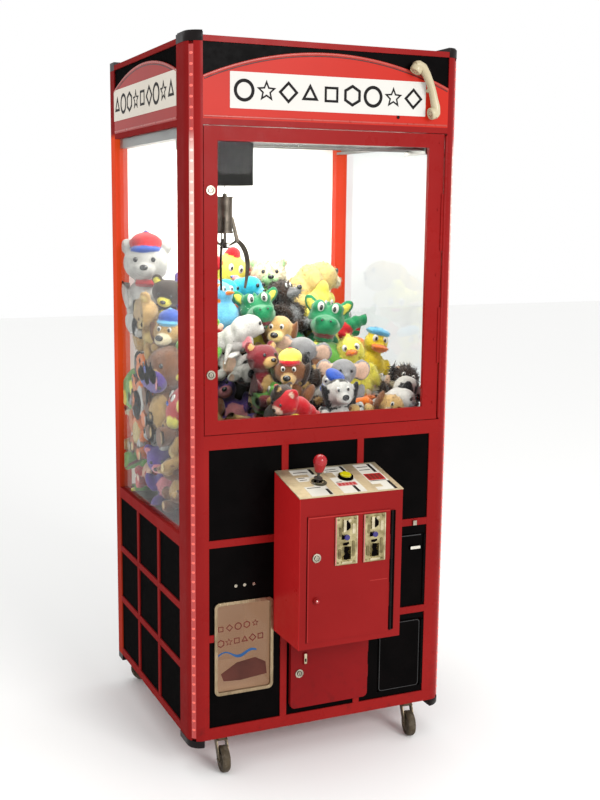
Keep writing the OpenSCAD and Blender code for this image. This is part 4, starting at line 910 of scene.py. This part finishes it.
def make_heap():
    """The toys that stand out, then others laid behind, below and beside them along the glass."""
    made = [make_toy(name, kind, colours, place, size, turn, **more) for name, kind, colours, place, size, turn, more in HEROES]
    dice = random.Random(11)
    spots = []
    for z in (665, 790, 905):                                  # along the left window
        spots += [(85, y + dice.uniform(-12, 12), z) for y in (330, 455, 580, 665)]
    for z in (650, 765, 875):                                  # behind the chute
        spots += [(150 + dice.uniform(-8, 8), 335, z), (240 + dice.uniform(-8, 8), 345, z + 10)]
    for z in (660, 785, 890):                                  # beside the chute, and along the right window
        spots += [(335, y + dice.uniform(-12, 12), z) for y in (95, 190, 285)]
        spots += [(725, y + dice.uniform(-12, 12), z) for y in (120, 260, 400, 540, 665)]
    for x, y in ((455, 300), (560, 320), (690, 440), (610, 500), (560, 610), (445, 640), (250, 640), (180, 600), (190, 480),
                 (160, 370), (300, 440), (700, 655), (500, 100), (620, 80), (700, 110), (440, 240), (560, 215), (240, 560)):
        spots.append((x, y, heap_top(x, y) - 62))
    for i, spot in enumerate(spots):
        kind, colours, pattern, shaggy = FILL_KINDS[(i * 7) % len(FILL_KINDS)]
        facing = -75 if spot[0] < 120 else 70 if spot[0] > 690 and spot[2] < 900 else -20
        if spot[0] == 335:
            facing = -80
        turn = (dice.uniform(-35, 25), dice.uniform(-40, 40), facing + dice.uniform(-35, 35))
        made.append(make_toy(f"toy_{i + 1:02d}", kind, colours, spot, dice.uniform(165, 205), turn, pattern, shaggy, voxel=5.5))
    return made


def make_heap_core(m):
    """The inside of the heap, seen only as shadowed pile between the toys."""
    columns = [115, 220, 345, 370, 440, 560, 640, 700]
    rows = [125, 230, 345, 370, 440, 540, 640]
    b = Build()
    top, low = {}, {}
    for j, y in enumerate(rows):
        for i, x in enumerate(columns):
            z = heap_top(x, y) - 95
            top[i, j], low[i, j] = len(b.verts), len(b.verts) + 1
            b.verts += [at(x, y, z), at(x, y, 590)]
    solid = [(i, j) for j in range(len(rows) - 1) for i in range(len(columns) - 1) if not (i < 2 and j < 2)]
    for i, j in solid:
        a, c, d, e = (i, j), (i + 1, j), (i + 1, j + 1), (i, j + 1)
        b.faces += [tuple(top[k] for k in (a, c, d, e)), tuple(low[k] for k in (e, d, c, a))]
        for p, q, side in ((a, c, (i, j - 1)), (c, d, (i + 1, j)), (d, e, (i, j + 1)), (e, a, (i - 1, j))):
            if side not in solid:
                b.faces.append((top[p], low[p], low[q], top[q]))
    b.picks = [0] * len(b.faces)
    obj = b.done("heap_core", [m["core"]], slot="plush", smooth=False)
    return obj


# ---------- materials of the cabinet ----------

MATERIALS = {}


def lit_paint(name, light, deep, glow):
    """The same enamel, with a painted glow on the rear posts that stands for the warm light of the lamps behind the
    glass.
    """
    made = paint(name, light, deep)
    s = Shader.wrap(made)
    rear = s.remap(s.along(1, 0.40, 0.42), 0, 1, 0, 1)
    high = s.remap(s.along(2, 0.66, 1.1), 0, 1, 0.25, 1)
    low = s.math("MULTIPLY", s.remap(s.along(2, 1.80, 1.815), 0, 1, 1, 0), s.remap(s.along(1, 0.4625, 0.4635), 0, 1, 1, 0))
    uneven = s.remap(s.noise(1.6, 3), 0.3, 0.7, 0.75, 1.1)
    share = s.math("MULTIPLY", s.math("MULTIPLY", rear, high), s.math("MULTIPLY", low, uneven))
    s.glow(s.mix(share, (0, 0, 0), glow), 0.55)
    return made


def lamp(name):
    """Lamps of the rope light: dim beside the marquee, near white below it and salmon further down."""
    s = Shader(name, (0.9, 0.3, 0.2), 0.3)
    tone = s.ramp(s.along(2, 0.12, 2.0), [(0.0, (0.85, 0.13, 0.09)), (0.42, (0.90, 0.14, 0.10)),
                                          (0.62, (1.0, 0.34, 0.26)), (0.78, (1.0, 0.78, 0.70)), (0.86, (1.0, 0.80, 0.74)),
                                          (0.885, (0.90, 0.14, 0.11))])
    dim = s.mix(1.0, tone, (0.45, 0.45, 0.45), "MULTIPLY")
    s.colour(s.mix(s.remap(s.noise(30, 3), 0.3, 0.7, 0, 0.3), dim, (0.3, 0.05, 0.03)))
    s.glow(tone, 0.62)
    return s.material


def rope(name):
    s = Shader(name, (0.55, 0.05, 0.04), 0.3, coat_weight=0.5)
    tone = s.ramp(s.along(2, 0.12, 2.0), [(0.0, (0.46, 0.022, 0.018)), (0.42, (0.52, 0.035, 0.028)),
                                          (0.62, (0.85, 0.18, 0.14)), (0.78, (1.0, 0.58, 0.50)), (0.86, (1.0, 0.60, 0.52)),
                                          (0.885, (0.46, 0.022, 0.018))])
    s.colour(s.mix(s.remap(s.noise(26, 3), 0.3, 0.7, 0, 0.4), s.mix(1.0, tone, (0.4, 0.4, 0.4), "MULTIPLY"), (0.2, 0.012, 0.01)))
    s.glow(tone, 0.55)
    return s.material


def white_sheet(name, light, deep, glow, strength):
    """White sheet inside the cabinet, with a painted glow for the light it throws back; on the lamp cover the glow is
    the lamp's own light.
    """
    s = Shader(name, light, 0.55)
    s.colour(s.ramp(s.noise(3, 5), [(0.3, deep), (0.7, light)]))
    s.glow(s.ramp(s.noise(1.4, 2), [(0.3, tuple(c * 0.85 for c in glow)), (0.7, glow)]), strength)
    s.bump(s.noise(90, 3), 0.1, 0.0006)
    return s.material


def dull_sides(name, light, deep):
    """Black sheet: smooth on the front and duller on the sides of the cabinet."""
    s = Shader(name, light, 0.3, specular_ior_level=0.02)
    s.colour(s.ramp(s.noise(14, 5), [(0.3, deep), (0.7, light)]))
    s.wire(s.math("ADD", s.remap(s.noise(60, 4), 0.25, 0.75, 0.24, 0.4), s.math("MULTIPLY", flank_share(s), 0.6)),
           s.bsdf.inputs["Roughness"])
    s.bump(s.noise(500, 2), 0.04, 0.0003)
    return s.material


def recolour(made, axis, low, high, colour, below=False):
    """The same finish with another colour beyond a place on one axis, such as painted shade along a row of hinge
    knuckles.
    """
    s = Shader.wrap(made)
    was = s.bsdf.inputs["Base Color"].links[0].from_socket
    share = s.along(axis, low, high)
    s.colour(s.mix(s.remap(share, 0, 1, 1, 0) if below else share, was, colour))
    return made


def two_sided(made):
    """Turns the outer side of the rear sheet to pale grey, without the painted glow."""
    s = Shader.wrap(made)
    outer = s.along(1, 0.4500, 0.4505)
    s.colour(s.mix(outer, s.bsdf.inputs["Base Color"].links[0].from_socket, (0.36, 0.36, 0.35)))
    s.wire(s.mix(outer, s.bsdf.inputs["Emission Color"].links[0].from_socket, (0, 0, 0)), s.bsdf.inputs["Emission Color"])
    return made


def box_paint(name):
    """The enamel of the control box, with a painted glow that makes its left side as light as its front."""
    made = paint(name, (0.225, 0.0085, 0.0085), (0.185, 0.006, 0.006), 0.34)
    s = Shader.wrap(made)
    side = s.remap(s.along(0, -0.1568, -0.1555), 0, 1, 1, 0)
    s.glow(s.mix(side, (0, 0, 0), s.ramp(s.noise(3, 3), [(0.3, (0.20, 0.004, 0.005)), (0.7, (0.24, 0.006, 0.007))])), 0.75)
    return made


def rubber(name, light, deep):
    s = Shader(name, light, 0.75, specular_ior_level=0.3)
    s.colour(s.mix(s.remap(s.noise(55, 6), 0.5, 0.75, 0, 0.7), s.ramp(s.noise(20, 4), [(0.3, deep), (0.7, light)]),
                   (0.16, 0.13, 0.10)))
    s.rough(s.noise(70, 4), 0.6, 0.9)
    s.bump(s.noise(260, 4), 0.5, 0.0006)
    return s.material


def stick_plastic(name):
    """Joystick: a red bat grip on a dark steel shaft."""
    s = Shader(name, (0.3, 0.01, 0.015), 0.22, specular_ior_level=0.4)
    red = s.ramp(s.noise(14, 5), [(0.3, (0.24, 0.006, 0.008)), (0.7, (0.31, 0.010, 0.014))])
    grip = s.remap(s.along(2, 0.874, 0.878), 0, 1, 0, 1)
    s.colour(s.mix(grip, (0.05, 0.045, 0.04), red))
    s.rough(s.noise(80, 4), 0.16, 0.32)
    s.bump(s.noise(300, 2), 0.1, 0.0002)
    return s.material


def make_materials():
    m = MATERIALS
    m["pile"], m["bead"] = pile("plush_pile"), bead("toy_eyes")
    m["red"] = paint("red_enamel", (0.245, 0.0095, 0.0085), (0.195, 0.006, 0.006))
    m["red_post"] = lit_paint("red_post_enamel", (0.235, 0.009, 0.009), (0.185, 0.006, 0.006), (0.90, 0.10, 0.012))
    # Painted shade: the near-black beyond the set place turns the hinge knuckles of the box and the coin door into the
    # shaded hinge gap.
    m["red_shell"] = recolour(box_paint("red_shell_enamel"), 1, -0.4521, -0.4518, (0.004, 0.0025, 0.0025), True)
    m["red_coin"] = recolour(paint("red_coin_enamel", (0.225, 0.0085, 0.0085), (0.185, 0.006, 0.006), 0.34),
                             0, 0.1156, 0.1159, (0.004, 0.0025, 0.0025))
    m["red_cash"] = paint("red_cash_enamel", (0.20, 0.0065, 0.0075), (0.155, 0.0045, 0.0055), 0.34)
    m["black_sheet"] = dull_sides("black_sheet", (0.0022, 0.0016, 0.0016), (0.0010, 0.0008, 0.0008))
    m["black_cap"] = plastic("black_cap", (0.008, 0.005, 0.005), (0.004, 0.0025, 0.0025), 0.36, level=0.14)
    m["black_trolley"] = plastic("black_trolley_paint", (0.006, 0.005, 0.004), (0.003, 0.0026, 0.002), 0.4, level=0.1)
    # Near-black painted as the shade in gaps, slots, recesses and keyways; also used for the button collar.
    m["gap_shade_black"] = plastic("gap_shade_black", (0.002, 0.0012, 0.0012), (0.001, 0.0007, 0.0007), 0.8, level=0.02)
    m["marquee"] = lit("marquee_acrylic", (0.30, 0.010, 0.006), (0.24, 0.007, 0.004), (0.95, 0.045, 0.012), 0.28)
    m["marquee_side"] = lit("marquee_side_acrylic", (0.26, 0.008, 0.006), (0.20, 0.006, 0.004), (0.95, 0.03, 0.012), 0.11)
    m["marquee_rim"] = plastic("rim_light", (0.40, 0.045, 0.03), (0.32, 0.03, 0.02), 0.3)
    m["marquee_line"] = plastic("rim_dark", (0.06, 0.003, 0.003), (0.04, 0.002, 0.002), 0.4)
    m["sign_white"] = lit("sign_white", (0.50, 0.49, 0.46), (0.46, 0.44, 0.41), (1.0, 0.97, 0.92), 0.14)
    m["sign_side"] = lit("sign_side_white", (0.62, 0.57, 0.49), (0.56, 0.51, 0.43), (1.0, 0.92, 0.8), 0.10)
    m["ink_black"] = plastic("ink_black", (0.006, 0.005, 0.005), (0.004, 0.003, 0.003), 0.5, level=0.1)
    m["ink_red"] = plastic("ink_red", (0.36, 0.012, 0.012), (0.3, 0.009, 0.009), 0.5, level=0.1)
    m["ink_pink"] = plastic("ink_pink", (0.46, 0.16, 0.15), (0.38, 0.12, 0.115), 0.5, level=0.1)
    m["ink_blue"] = plastic("ink_blue", (0.03, 0.10, 0.25), (0.02, 0.07, 0.18), 0.5, level=0.1)
    m["ink_brown"] = plastic("ink_brown", (0.15, 0.022, 0.018), (0.10, 0.016, 0.012), 0.5, level=0.1)
    m["label_white"] = plastic("label_white", (0.56, 0.55, 0.49), (0.50, 0.49, 0.43), 0.4, level=0.15)
    m["flap_shade"] = plastic("flap_shade", (0.10, 0.03, 0.022), (0.06, 0.02, 0.015), 0.6, level=0.1)
    m["grey_line"] = plastic("grey_line", (0.055, 0.055, 0.055), (0.035, 0.035, 0.035), 0.5, level=0.1)
    # Paler red painted as highlights along the coin door's edges.
    m["red_light"] = paint("red_edge_highlight", (0.36, 0.035, 0.03), (0.28, 0.018, 0.016), 0.4)
    m["knob_red"] = plastic("knob_red", (0.34, 0.01, 0.012), (0.26, 0.007, 0.008), 0.15, level=0.6)
    m["cream"] = plastic("cream_plastic", (0.47, 0.41, 0.27), (0.40, 0.34, 0.21), 0.28)
    m["lamp"], m["rope"] = lamp("rope_lamps"), rope("rope_tube")
    m["core"] = plastic("heap_shadow", (0.035, 0.022, 0.014), (0.018, 0.012, 0.008), 0.95, level=0.05)
    m["glass"] = clear("clear_glass", (0.985, 0.992, 0.988), 0.16)
    m["guard"] = clear("guard_sheet", (0.98, 0.985, 0.982), 0.10, 0.06)
    m["smoked"] = clear("smoked_sheet", (0.90, 0.85, 0.80), 0.5, 0.15)
    # The glow of the inside walls, the rear sheet, the roof and the bin is painted light; only the lamp cover is a
    # lamp.
    m["white_inside"] = white_sheet("white_inside", (0.90, 0.91, 0.89), (0.85, 0.86, 0.84), (1.0, 0.99, 0.94), 0.35)
    m["rear_sheet"] = two_sided(white_sheet("rear_sheet", (0.90, 0.91, 0.89), (0.85, 0.86, 0.84), (1.0, 0.99, 0.94), 0.35))
    m["roof"] = white_sheet("roof_sheet", (0.40, 0.39, 0.37), (0.32, 0.31, 0.29), (1.0, 0.95, 0.88), 0.03)
    m["tube"] = white_sheet("lamp_cover", (0.80, 0.80, 0.77), (0.72, 0.72, 0.69), (1.0, 0.98, 0.93), 1.0)
    m["bin"] = white_sheet("bin_steel", (0.34, 0.27, 0.21), (0.24, 0.18, 0.13), (0.30, 0.20, 0.14), 0.8)
    m["grey_steel"] = brushed("grey_steel", (0.34, 0.34, 0.33), (0.20, 0.20, 0.20), 0.4, (60, 3, 60), 10)
    m["deck"] = metal("deck_steel", (0.32, 0.31, 0.30), (0.22, 0.21, 0.20), 0.45)
    m["bronze"] = brushed("bronze_sheet", (0.60, 0.52, 0.36), (0.44, 0.37, 0.23), 0.6, (4, 60, 60), 12)
    m["bronze_trim"] = brushed("bronze_trim", (0.40, 0.31, 0.20), (0.22, 0.16, 0.09), 0.3, (60, 60, 6), 9)
    m["brass"] = metal("brass_plate", (0.42, 0.36, 0.20), (0.19, 0.155, 0.075), 0.32)
    m["pale_metal"] = metal("pale_edge", (0.58, 0.51, 0.36), (0.34, 0.29, 0.18), 0.3)
    m["dark_brass"] = metal("dark_brass", (0.22, 0.18, 0.09), (0.10, 0.08, 0.04), 0.35)
    m["chrome"] = metal("bright_steel", (0.46, 0.42, 0.34), (0.24, 0.215, 0.17), 0.2)
    m["silver"] = metal("silver_steel", (0.75, 0.72, 0.64), (0.55, 0.52, 0.45), 0.25)
    m["blue"] = plastic("blue_button", (0.035, 0.025, 0.16), (0.022, 0.016, 0.11), 0.25)
    m["red_grip"] = stick_plastic("red_grip")
    m["olive"] = plastic("olive_disc", (0.045, 0.042, 0.022), (0.025, 0.023, 0.012), 0.3)
    m["yellow"] = plastic("yellow_button", (0.46, 0.42, 0.002), (0.40, 0.35, 0.002), 0.22)
    m["claw"] = metal("claw_housing", (0.17, 0.14, 0.115), (0.09, 0.075, 0.06), 0.4)
    m["finger"] = metal("finger_steel", (0.055, 0.045, 0.035), (0.03, 0.024, 0.02), 0.4)
    m["string"] = plastic("hoist_cord", (0.03, 0.026, 0.022), (0.02, 0.016, 0.013), 0.7)
    m["castor"] = metal("castor_steel", (0.16, 0.125, 0.08), (0.07, 0.055, 0.035), 0.4)
    m["rubber"] = rubber("castor_rubber", (0.075, 0.055, 0.03), (0.03, 0.022, 0.013))


SLOT_MATERIAL = {
    "red_paint": "red", "red_lens": "rope", "black_plastic": "black_cap", "black_panel": "black_sheet",
    "marquee_acrylic": "marquee", "cream_plastic": "cream", "clear_glass": "glass", "white_panel": "white_inside",
    "roof_sheet": "roof", "grey_steel": "grey_steel", "bronze_metal": "bronze", "smoked_clear": "smoked",
    "brass_plate": "brass", "bright_steel": "chrome", "blue_plastic": "blue", "red_plastic": "red_grip",
    "yellow_plastic": "yellow", "black_metal": "black_trolley", "claw_metal": "claw", "cord": "string",
    "plush": "core", "castor_metal": "castor", "grey_rubber": "rubber"}
NODE_MATERIAL = {
    "corner_posts": "red_post", "control_box": "red_shell", "coin_door": "red_coin", "cash_door": "red_cash",
    "chute_guard": "guard", "light_fixture": "tube", "prize_bin": "bin", "rear_wall": "rear_sheet",
    "prize_door_frame": "bronze_trim", "toy_deck": "deck",
    "finger_1": "finger", "finger_2": "finger", "finger_3": "finger", "plunger": "finger", "bridge": "grey_steel"}
BEVELLED = ("frame_front", "frame_sides", "door_frame", "coin_door", "control_box", "cash_door", "post_caps",
            "prize_door_frame", "coin_plates", "control_panel", "ticket_door", "access_door", "trolley")


def dress_nodes():
    """Give every CAD part its material by the slot it was packed with."""
    for name, obj in NODES.items():
        packed = obj.data.materials[0].name.split(".")[0]
        key = NODE_MATERIAL.get(name, SLOT_MATERIAL[packed])
        obj.data.materials.clear()
        obj.data.materials.append(MATERIALS[key])
        if name in BEVELLED:
            weld = obj.modifiers.new("weld", "WELD")
            weld.merge_threshold = 0.00002
            edge = obj.modifiers.new("edge", "BEVEL")
            edge.width = 0.0009
            edge.segments = 2
            edge.limit_method = "ANGLE"
            edge.angle_limit = math.radians(40)
            edge.harden_normals = True


# ---------- trim and prints ----------

TILT = math.atan(39 / 170)      # slope of the control panel
PANEL_SKIN = 2.5                # thickness of the panel plate
RING_SIDES = 40
KNOB_Z = 435


def panel_face(u, v, h):
    """Across and front-to-back on the sloping panel, with height above it."""
    h += PANEL_SKIN
    return at(248 + u, -170 + v * math.cos(TILT) - h * math.sin(TILT), 720 + v * math.sin(TILT) + h * math.cos(TILT))


def bitten(u0, v0, u1, v1, cu, cv, r, steps=14):
    """A rectangle whose right side is bitten by a circle round (cu, cv)."""
    reach = math.sqrt(r * r - (u1 - cu) ** 2)
    start, end = math.atan2(-reach, u1 - cu), -math.atan2(-reach, u1 - cu)
    sweep = (end - start) - 2 * math.pi
    arc = [(cu + r * math.cos(start + sweep * k / steps), cv + r * math.sin(start + sweep * k / steps))
           for k in range(steps + 1)]
    return [(u0, v0), (u1, v0)] + arc + [(u1, v1), (u0, v1)]


def panel_ring(name, middle, material, rows):
    """A turned ring on the panel, from the radius and height of each corner of its section."""
    across, along = (panel_face(*step, 0) - panel_face(0, 0, 0) for step in ((1, 0), (0, 1)))
    b, n = Build(), RING_SIDES
    angles = [2 * math.pi * k / n for k in range(n)]
    for r, h in rows:
        b.verts += [panel_face(*middle, h) + across * r * math.cos(t) + along * r * math.sin(t) for t in angles]
    b.faces = bands(len(rows), n, True)
    b.picks = [0] * len(b.faces)
    b.done(name, [material], slot="black_plastic", smooth=True)


def make_panel_prints(m):
    """White instruction labels with their black bars and lines, round the stick and the button."""
    stick, press = (92, 82), (181, 95)
    b = Build()
    b.slab(bitten(38, 4, 103, 166, *stick, 25), panel_face, 0, 0.3)
    b.slab(bitten(134, 4, 181, 166, *press, 22.5), panel_face, 0, 0.3)
    mirrored = [(2 * press[0] - u, v) for u, v in bitten(158, 4, 181, 166, *press, 22.5)]
    b.slab(mirrored[::-1], panel_face, 0, 0.3)
    b.slab(oblong(237, 4, 297, 166), panel_face, 0, 0.3)
    for u0, v0, u1, v1 in ((36, 60, 70, 92), (36, 118, 80, 134), (132, 100, 156, 132), (235, 22, 262, 40)):
        b.slab(oblong(u0, v0, u1, v1), panel_face, 0.3, 0.45, 2)
    for u, v0, v1 in ((92, 6, 40), (94, 130, 164), (192, 122, 164), (176, 6, 44), (288, 4, 54), (280, 112, 164)):
        b.slab(oblong(u, v0, u + 9, v1), panel_face, 0.3, 0.6, 1)
    for u0, v, u1 in ((44, 50, 84), (44, 100, 66), (44, 112, 64), (44, 146, 88), (140, 70, 158), (140, 136, 180),
                      (142, 148, 176), (240, 58, 290), (242, 128, 276), (242, 146, 276)):
        b.slab(oblong(u0, v, u1, v + 3.2), panel_face, 0.3, 0.6, 1)
    b.slab(oblong(240, 64, 293, 104, 3), panel_face, 0.3, 0.6, 3)
    for k in range(4):
        b.slab(oblong(244 + 12 * k, 70, 252 + 12 * k, 98), panel_face, 0.6, 0.8, 5)
    b.slab(oblong(138, 46, 196, 66, 3), panel_face, 0.3, 0.6, 4)
    for k in range(5):
        b.slab(oblong(142 + 11 * k, 50, 148 + 11 * k, 62), panel_face, 0.6, 0.8, 3)
    b.done("panel_prints", [m["label_white"], m["ink_black"], m["bronze"], m["ink_red"], m["ink_pink"], m["ink_brown"]],
           slot="white_panel")
    panel_ring("stick_dust_ring", stick, m["olive"],
               [(14, 0.4), (23.5, 0.4), (23.5, 1.2), (20, 2.4), (15.5, 2.9), (14, 3.0)])
    panel_ring("button_collar", press, m["gap_shade_black"],
               [(16.6, 0.4), (21.5, 0.4), (21.5, 6.6), (20.4, 7.5), (16.6, 7.5)])


def make_coin_trim(m):
    """Raised edges, recesses and return slots on the two coin plates; the recesses are black shapes of painted shade.
    """
    for n, x in enumerate((351, 437)):
        b = Build()
        face, bezel = front_face(-177), front_face(-180)
        b.slab(oblong(x + 0.5, 528, x + 3.5, 660, 1), face, 0.1, 0.8, 2)
        b.slab(oblong(x + 64.5, 528, x + 67.5, 660, 1), face, 0.1, 0.6, 0)
        b.slab(oblong(x + 22.5, 620, x + 31, 654, 2), bezel, 0.1, 1.4, 0)
        b.slab(oblong(x + 37, 646, x + 45.5, 654, 2), bezel, 0.1, 1.4, 0)
        # Black shapes of painted shade in the recesses.
        b.slab([(x + 32, 650), (x + 36, 650), (x + 44, 640), (x + 44, 630), (x + 37, 624), (x + 32, 628)], bezel, 0.1, 0.7, 1)
        b.slab(oblong(x + 12, 607, x + 19, 632, 2), face, 0.1, 1.4, 3)
        b.slab([(x + 19, 598), (x + 27, 598), (x + 27, 608), (x + 22, 612), (x + 19, 608)], face, 0.1, 1.0, 1)
        b.slab([(x + 23, 588), (x + 41, 590), (x + 42, 585), (x + 34, 581), (x + 24, 582)], face, 0.1, 1.0, 1)
        s_shape = [(x + 28, 578), (x + 40, 577), (x + 42, 568), (x + 36, 563), (x + 43, 557), (x + 43, 547),
                   (x + 35, 540), (x + 27, 542), (x + 25, 551), (x + 30, 558), (x + 26, 566)]
        b.slab(s_shape, face, 0.1, 1.2, 1)
        b.slab(oblong(x + 9, 545, x + 18, 572, 3), face, 0.1, 1.8, 3)
        b.slab(oblong(x + 51, 548, x + 59, 592, 3), face, 0.1, 1.6, 3)
        b.slab(oblong(x + 51, 612, x + 60, 640, 3), face, 0.1, 1.2, 0)
        b.slab(oblong(x + 20, 531, x + 50, 537, 2), face, 0.1, 3.0, 0)
        for u, v in ((x + 9, 654), (x + 59, 654), (x + 9, 534), (x + 58, 535)):
            b.lathe(at(u, -177, v), Vector((0, -1, 0)), [(0.0028, 0.0001), (0.0028, 0.0012), (0.0014, 0.0018)], 3, 12)
        b.done(f"coin_plate_trim_{n + 1}", [m["pale_metal"], m["gap_shade_black"], m["ink_pink"], m["dark_brass"]],
               body="coin_door", slot="brass_plate")


def make_flap_print(m):
    """Generic print on the prize flap: two rows of brown shapes over a blue wave, and a dark patch of painted shade
    below them.
    """
    face = front_face(10)
    b = Build()
    kinds = ("box", "gem", "ring", "hex", "star", "box", "peak", "gem")
    for row, (v, size) in enumerate(((318, 11), (276, 12))):
        for i in range(5 + row):
            cu = 92 + i * (26 - 2 * row)
            b.ring(*symbol(kinds[(i + 3 * row) % 8], cu, v + 1.5 * i, size), face, 0.1, 0.5, 0)
    wave = [(84 + 4 * k, 244 + 7 * math.sin(k / 3.2)) for k in range(30)]
    under = [(u, v - 7 + 3 * math.cos(u / 17)) for u, v in reversed(wave)]
    b.slab(wave + under, face, 0.1, 0.5, 1)
    # A dark patch of painted shade.
    b.slab([(92, 186), (140, 214), (196, 222), (228, 204), (232, 168), (150, 160), (100, 164)], face, 0.1, 0.5, 2)
    b.done("flap_print", [m["ink_brown"], m["ink_blue"], m["flap_shade"]], body="prize_flap", slot="red_plastic")


def make_small_trim(m):
    # Black strips painted as the shade in the gaps beside the coin door and its hinge.
    b = Build()
    b.slab(oblong(521.8, 322, 530, 664), front_face(-170), 0.1, 0.5, 0)
    b.slab(oblong(530.2, 322, 537, 664), front_face(-173), 0.1, 0.5, 0)
    b.slab(oblong(269.3, 316, 270.7, 670), front_face(-170), 0.1, 0.5, 0)
    b.done("coin_door_gap_shade", [m["gap_shade_black"]], slot="black_plastic")
    # Paler red strips painted as highlights along the coin door's bevelled edges.
    b = Build()
    b.slab(oblong(273, 663.5, 519, 666.5, 1), front_face(-173), 0.1, 0.5, 0)
    b.slab(oblong(272, 319, 274, 662, 0.6), front_face(-173), 0.1, 0.4, 0)
    b.slab(oblong(461, 470, 516, 472, 0.5), front_face(-173), 0.1, 0.4, 0)
    b.done("coin_door_bevel_highlight", [m["red_light"]], body="coin_door", slot="red_paint")
    b = Build()
    b.lathe(at(297, -183, KNOB_Z), Vector((0, -1, 0)), [(0.0054, 0.0001), (0.0054, 0.0008), (0.0040, 0.0016)], 0, 24)
    # The small pale dot up and to the left of the knob's middle is a painted highlight.
    b.lathe(at(295.5, -184.6, KNOB_Z + 1.5), Vector((0, -1, 0)), [(0.0016, 0.0001), (0.0016, 0.0005), (0.0008, 0.0008)], 1, 12)
    b.done("coin_door_knob", [m["knob_red"], m["silver"]], body="coin_door", slot="red_plastic", smooth=True)
    b = Build()
    b.slab(oblong(686.5, 487, 719.5, 495.5, 1.5), front_face(-5), 0.1, 0.9, 0)
    b.slab(oblong(570, 526.5, 724, 529, 0.6), front_face(1), 0.1, 0.6, 1)
    b.done("ticket_door_pull", [m["silver"], m["grey_line"]], body="ticket_door", slot="bright_steel")
    b = Build()
    # A grey line painted as the shaded seam round the access door.
    b.ring(oblong(593, 56, 727, 264, 9), oblong(594.5, 57.5, 725.5, 262.5, 8), front_face(1), 0.1, 0.4, 0)
    b.done("access_door_line", [m["grey_line"]], body="access_door", slot="grey_steel")
    b = Build()
    b.slab(oblong(337, 190, 345, 220, 1.5), front_face(-19), 0.1, 1.4, 0)
    # The black slot is painted shade.
    b.slab(oblong(338.6, 196, 343.4, 206, 2), front_face(-19), 1.4, 1.8, 1)
    b.done("cash_hasp_plate", [m["pale_metal"], m["gap_shade_black"]], body="cash_door", slot="bright_steel")
    b = Build()
    b.lathe(at(612, -1.2, 1731), Vector((0, -1, 0)), [(0.0045, 0), (0.0045, 0.0012), (0.003, 0.002)], 0, 16)
    b.done("sign_fastener", [m["ink_black"]], slot="black_plastic", smooth=True)
    for name, body, x, y, z in (("door_upper", "lock_upper", 60, -3, 1525), ("door_lower", "lock_lower", 60, -3, 1039),
                                ("coin", "coin_lock", 297, -176, 554), ("cash", "cash_lock", 323, -17.4, 162)):
        b = Build()
        # The black middle ring of each lock face is painted shade in the keyway.
        for r0, r1, h, pick in ((12.3, 10.2, 0.6, 0), (7.6, 6.4, 0.9, 1), (5.6, 3.4, 1.0, 0)):
            b.ring(round_points(x, z, r0, 36), round_points(x, z, r1, 36), front_face(y), 0.05, h, pick)
        b.done(f"lock_face_{name}", [m["chrome"], m["gap_shade_black"]], body=body, slot="bright_steel", smooth=True)


def make_hoist_line(m):
    b = Build()
    b.sweep([at(161, 160, z) for z in np.linspace(1590, 1520, 15)], [(0.0012, 0.0012)] * 15, Vector((0, 1, 0)), sides=10)
    mesh = bpy.data.meshes.new("hoist_line")
    mesh.from_pydata([tuple(v) for v in b.verts], [], b.faces)
    mesh.materials.append(m["string"])
    obj = bpy.data.objects.new("hoist_line", mesh)
    bpy.context.scene.collection.objects.link(obj)
    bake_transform(obj)
    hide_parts("hoist_string")


def build_everything():
    m = MATERIALS
    make_materials()
    dress_nodes()
    front = make_marquee("front", lambda u, v, h: at(40 + u, -h, v), 732, 1890, 74, 1736, 584,
                         ["ring", "star", "gem", "peak", "box", "hex", "ring", "star", "gem"], m)
    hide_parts("marquee_panels")
    side = dict(m, marquee=m["marquee_side"], sign_white=m["sign_side"])
    make_marquee("left", left_face, 606, 1888, 0, 1745, 606,
                 ["peak", "ring", "hex", "star", "box", "gem", "ring", "star", "peak"], side)
    make_marquee("right", right_face, 606, 1888, 0, 1745, 606,
                 ["star", "gem", "box", "ring", "peak", "hex", "star", "ring", "gem"], side)
    make_handset(m)
    make_rope_lights(m)
    make_hoist_line(m)
    make_panel_prints(m)
    make_coin_trim(m)
    make_flap_print(m)
    make_small_trim(m)
    core = make_heap_core(m)
    make_heap()
    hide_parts("prizes_front", "prizes_back")


build_everything()
make_camera()
make_studio()
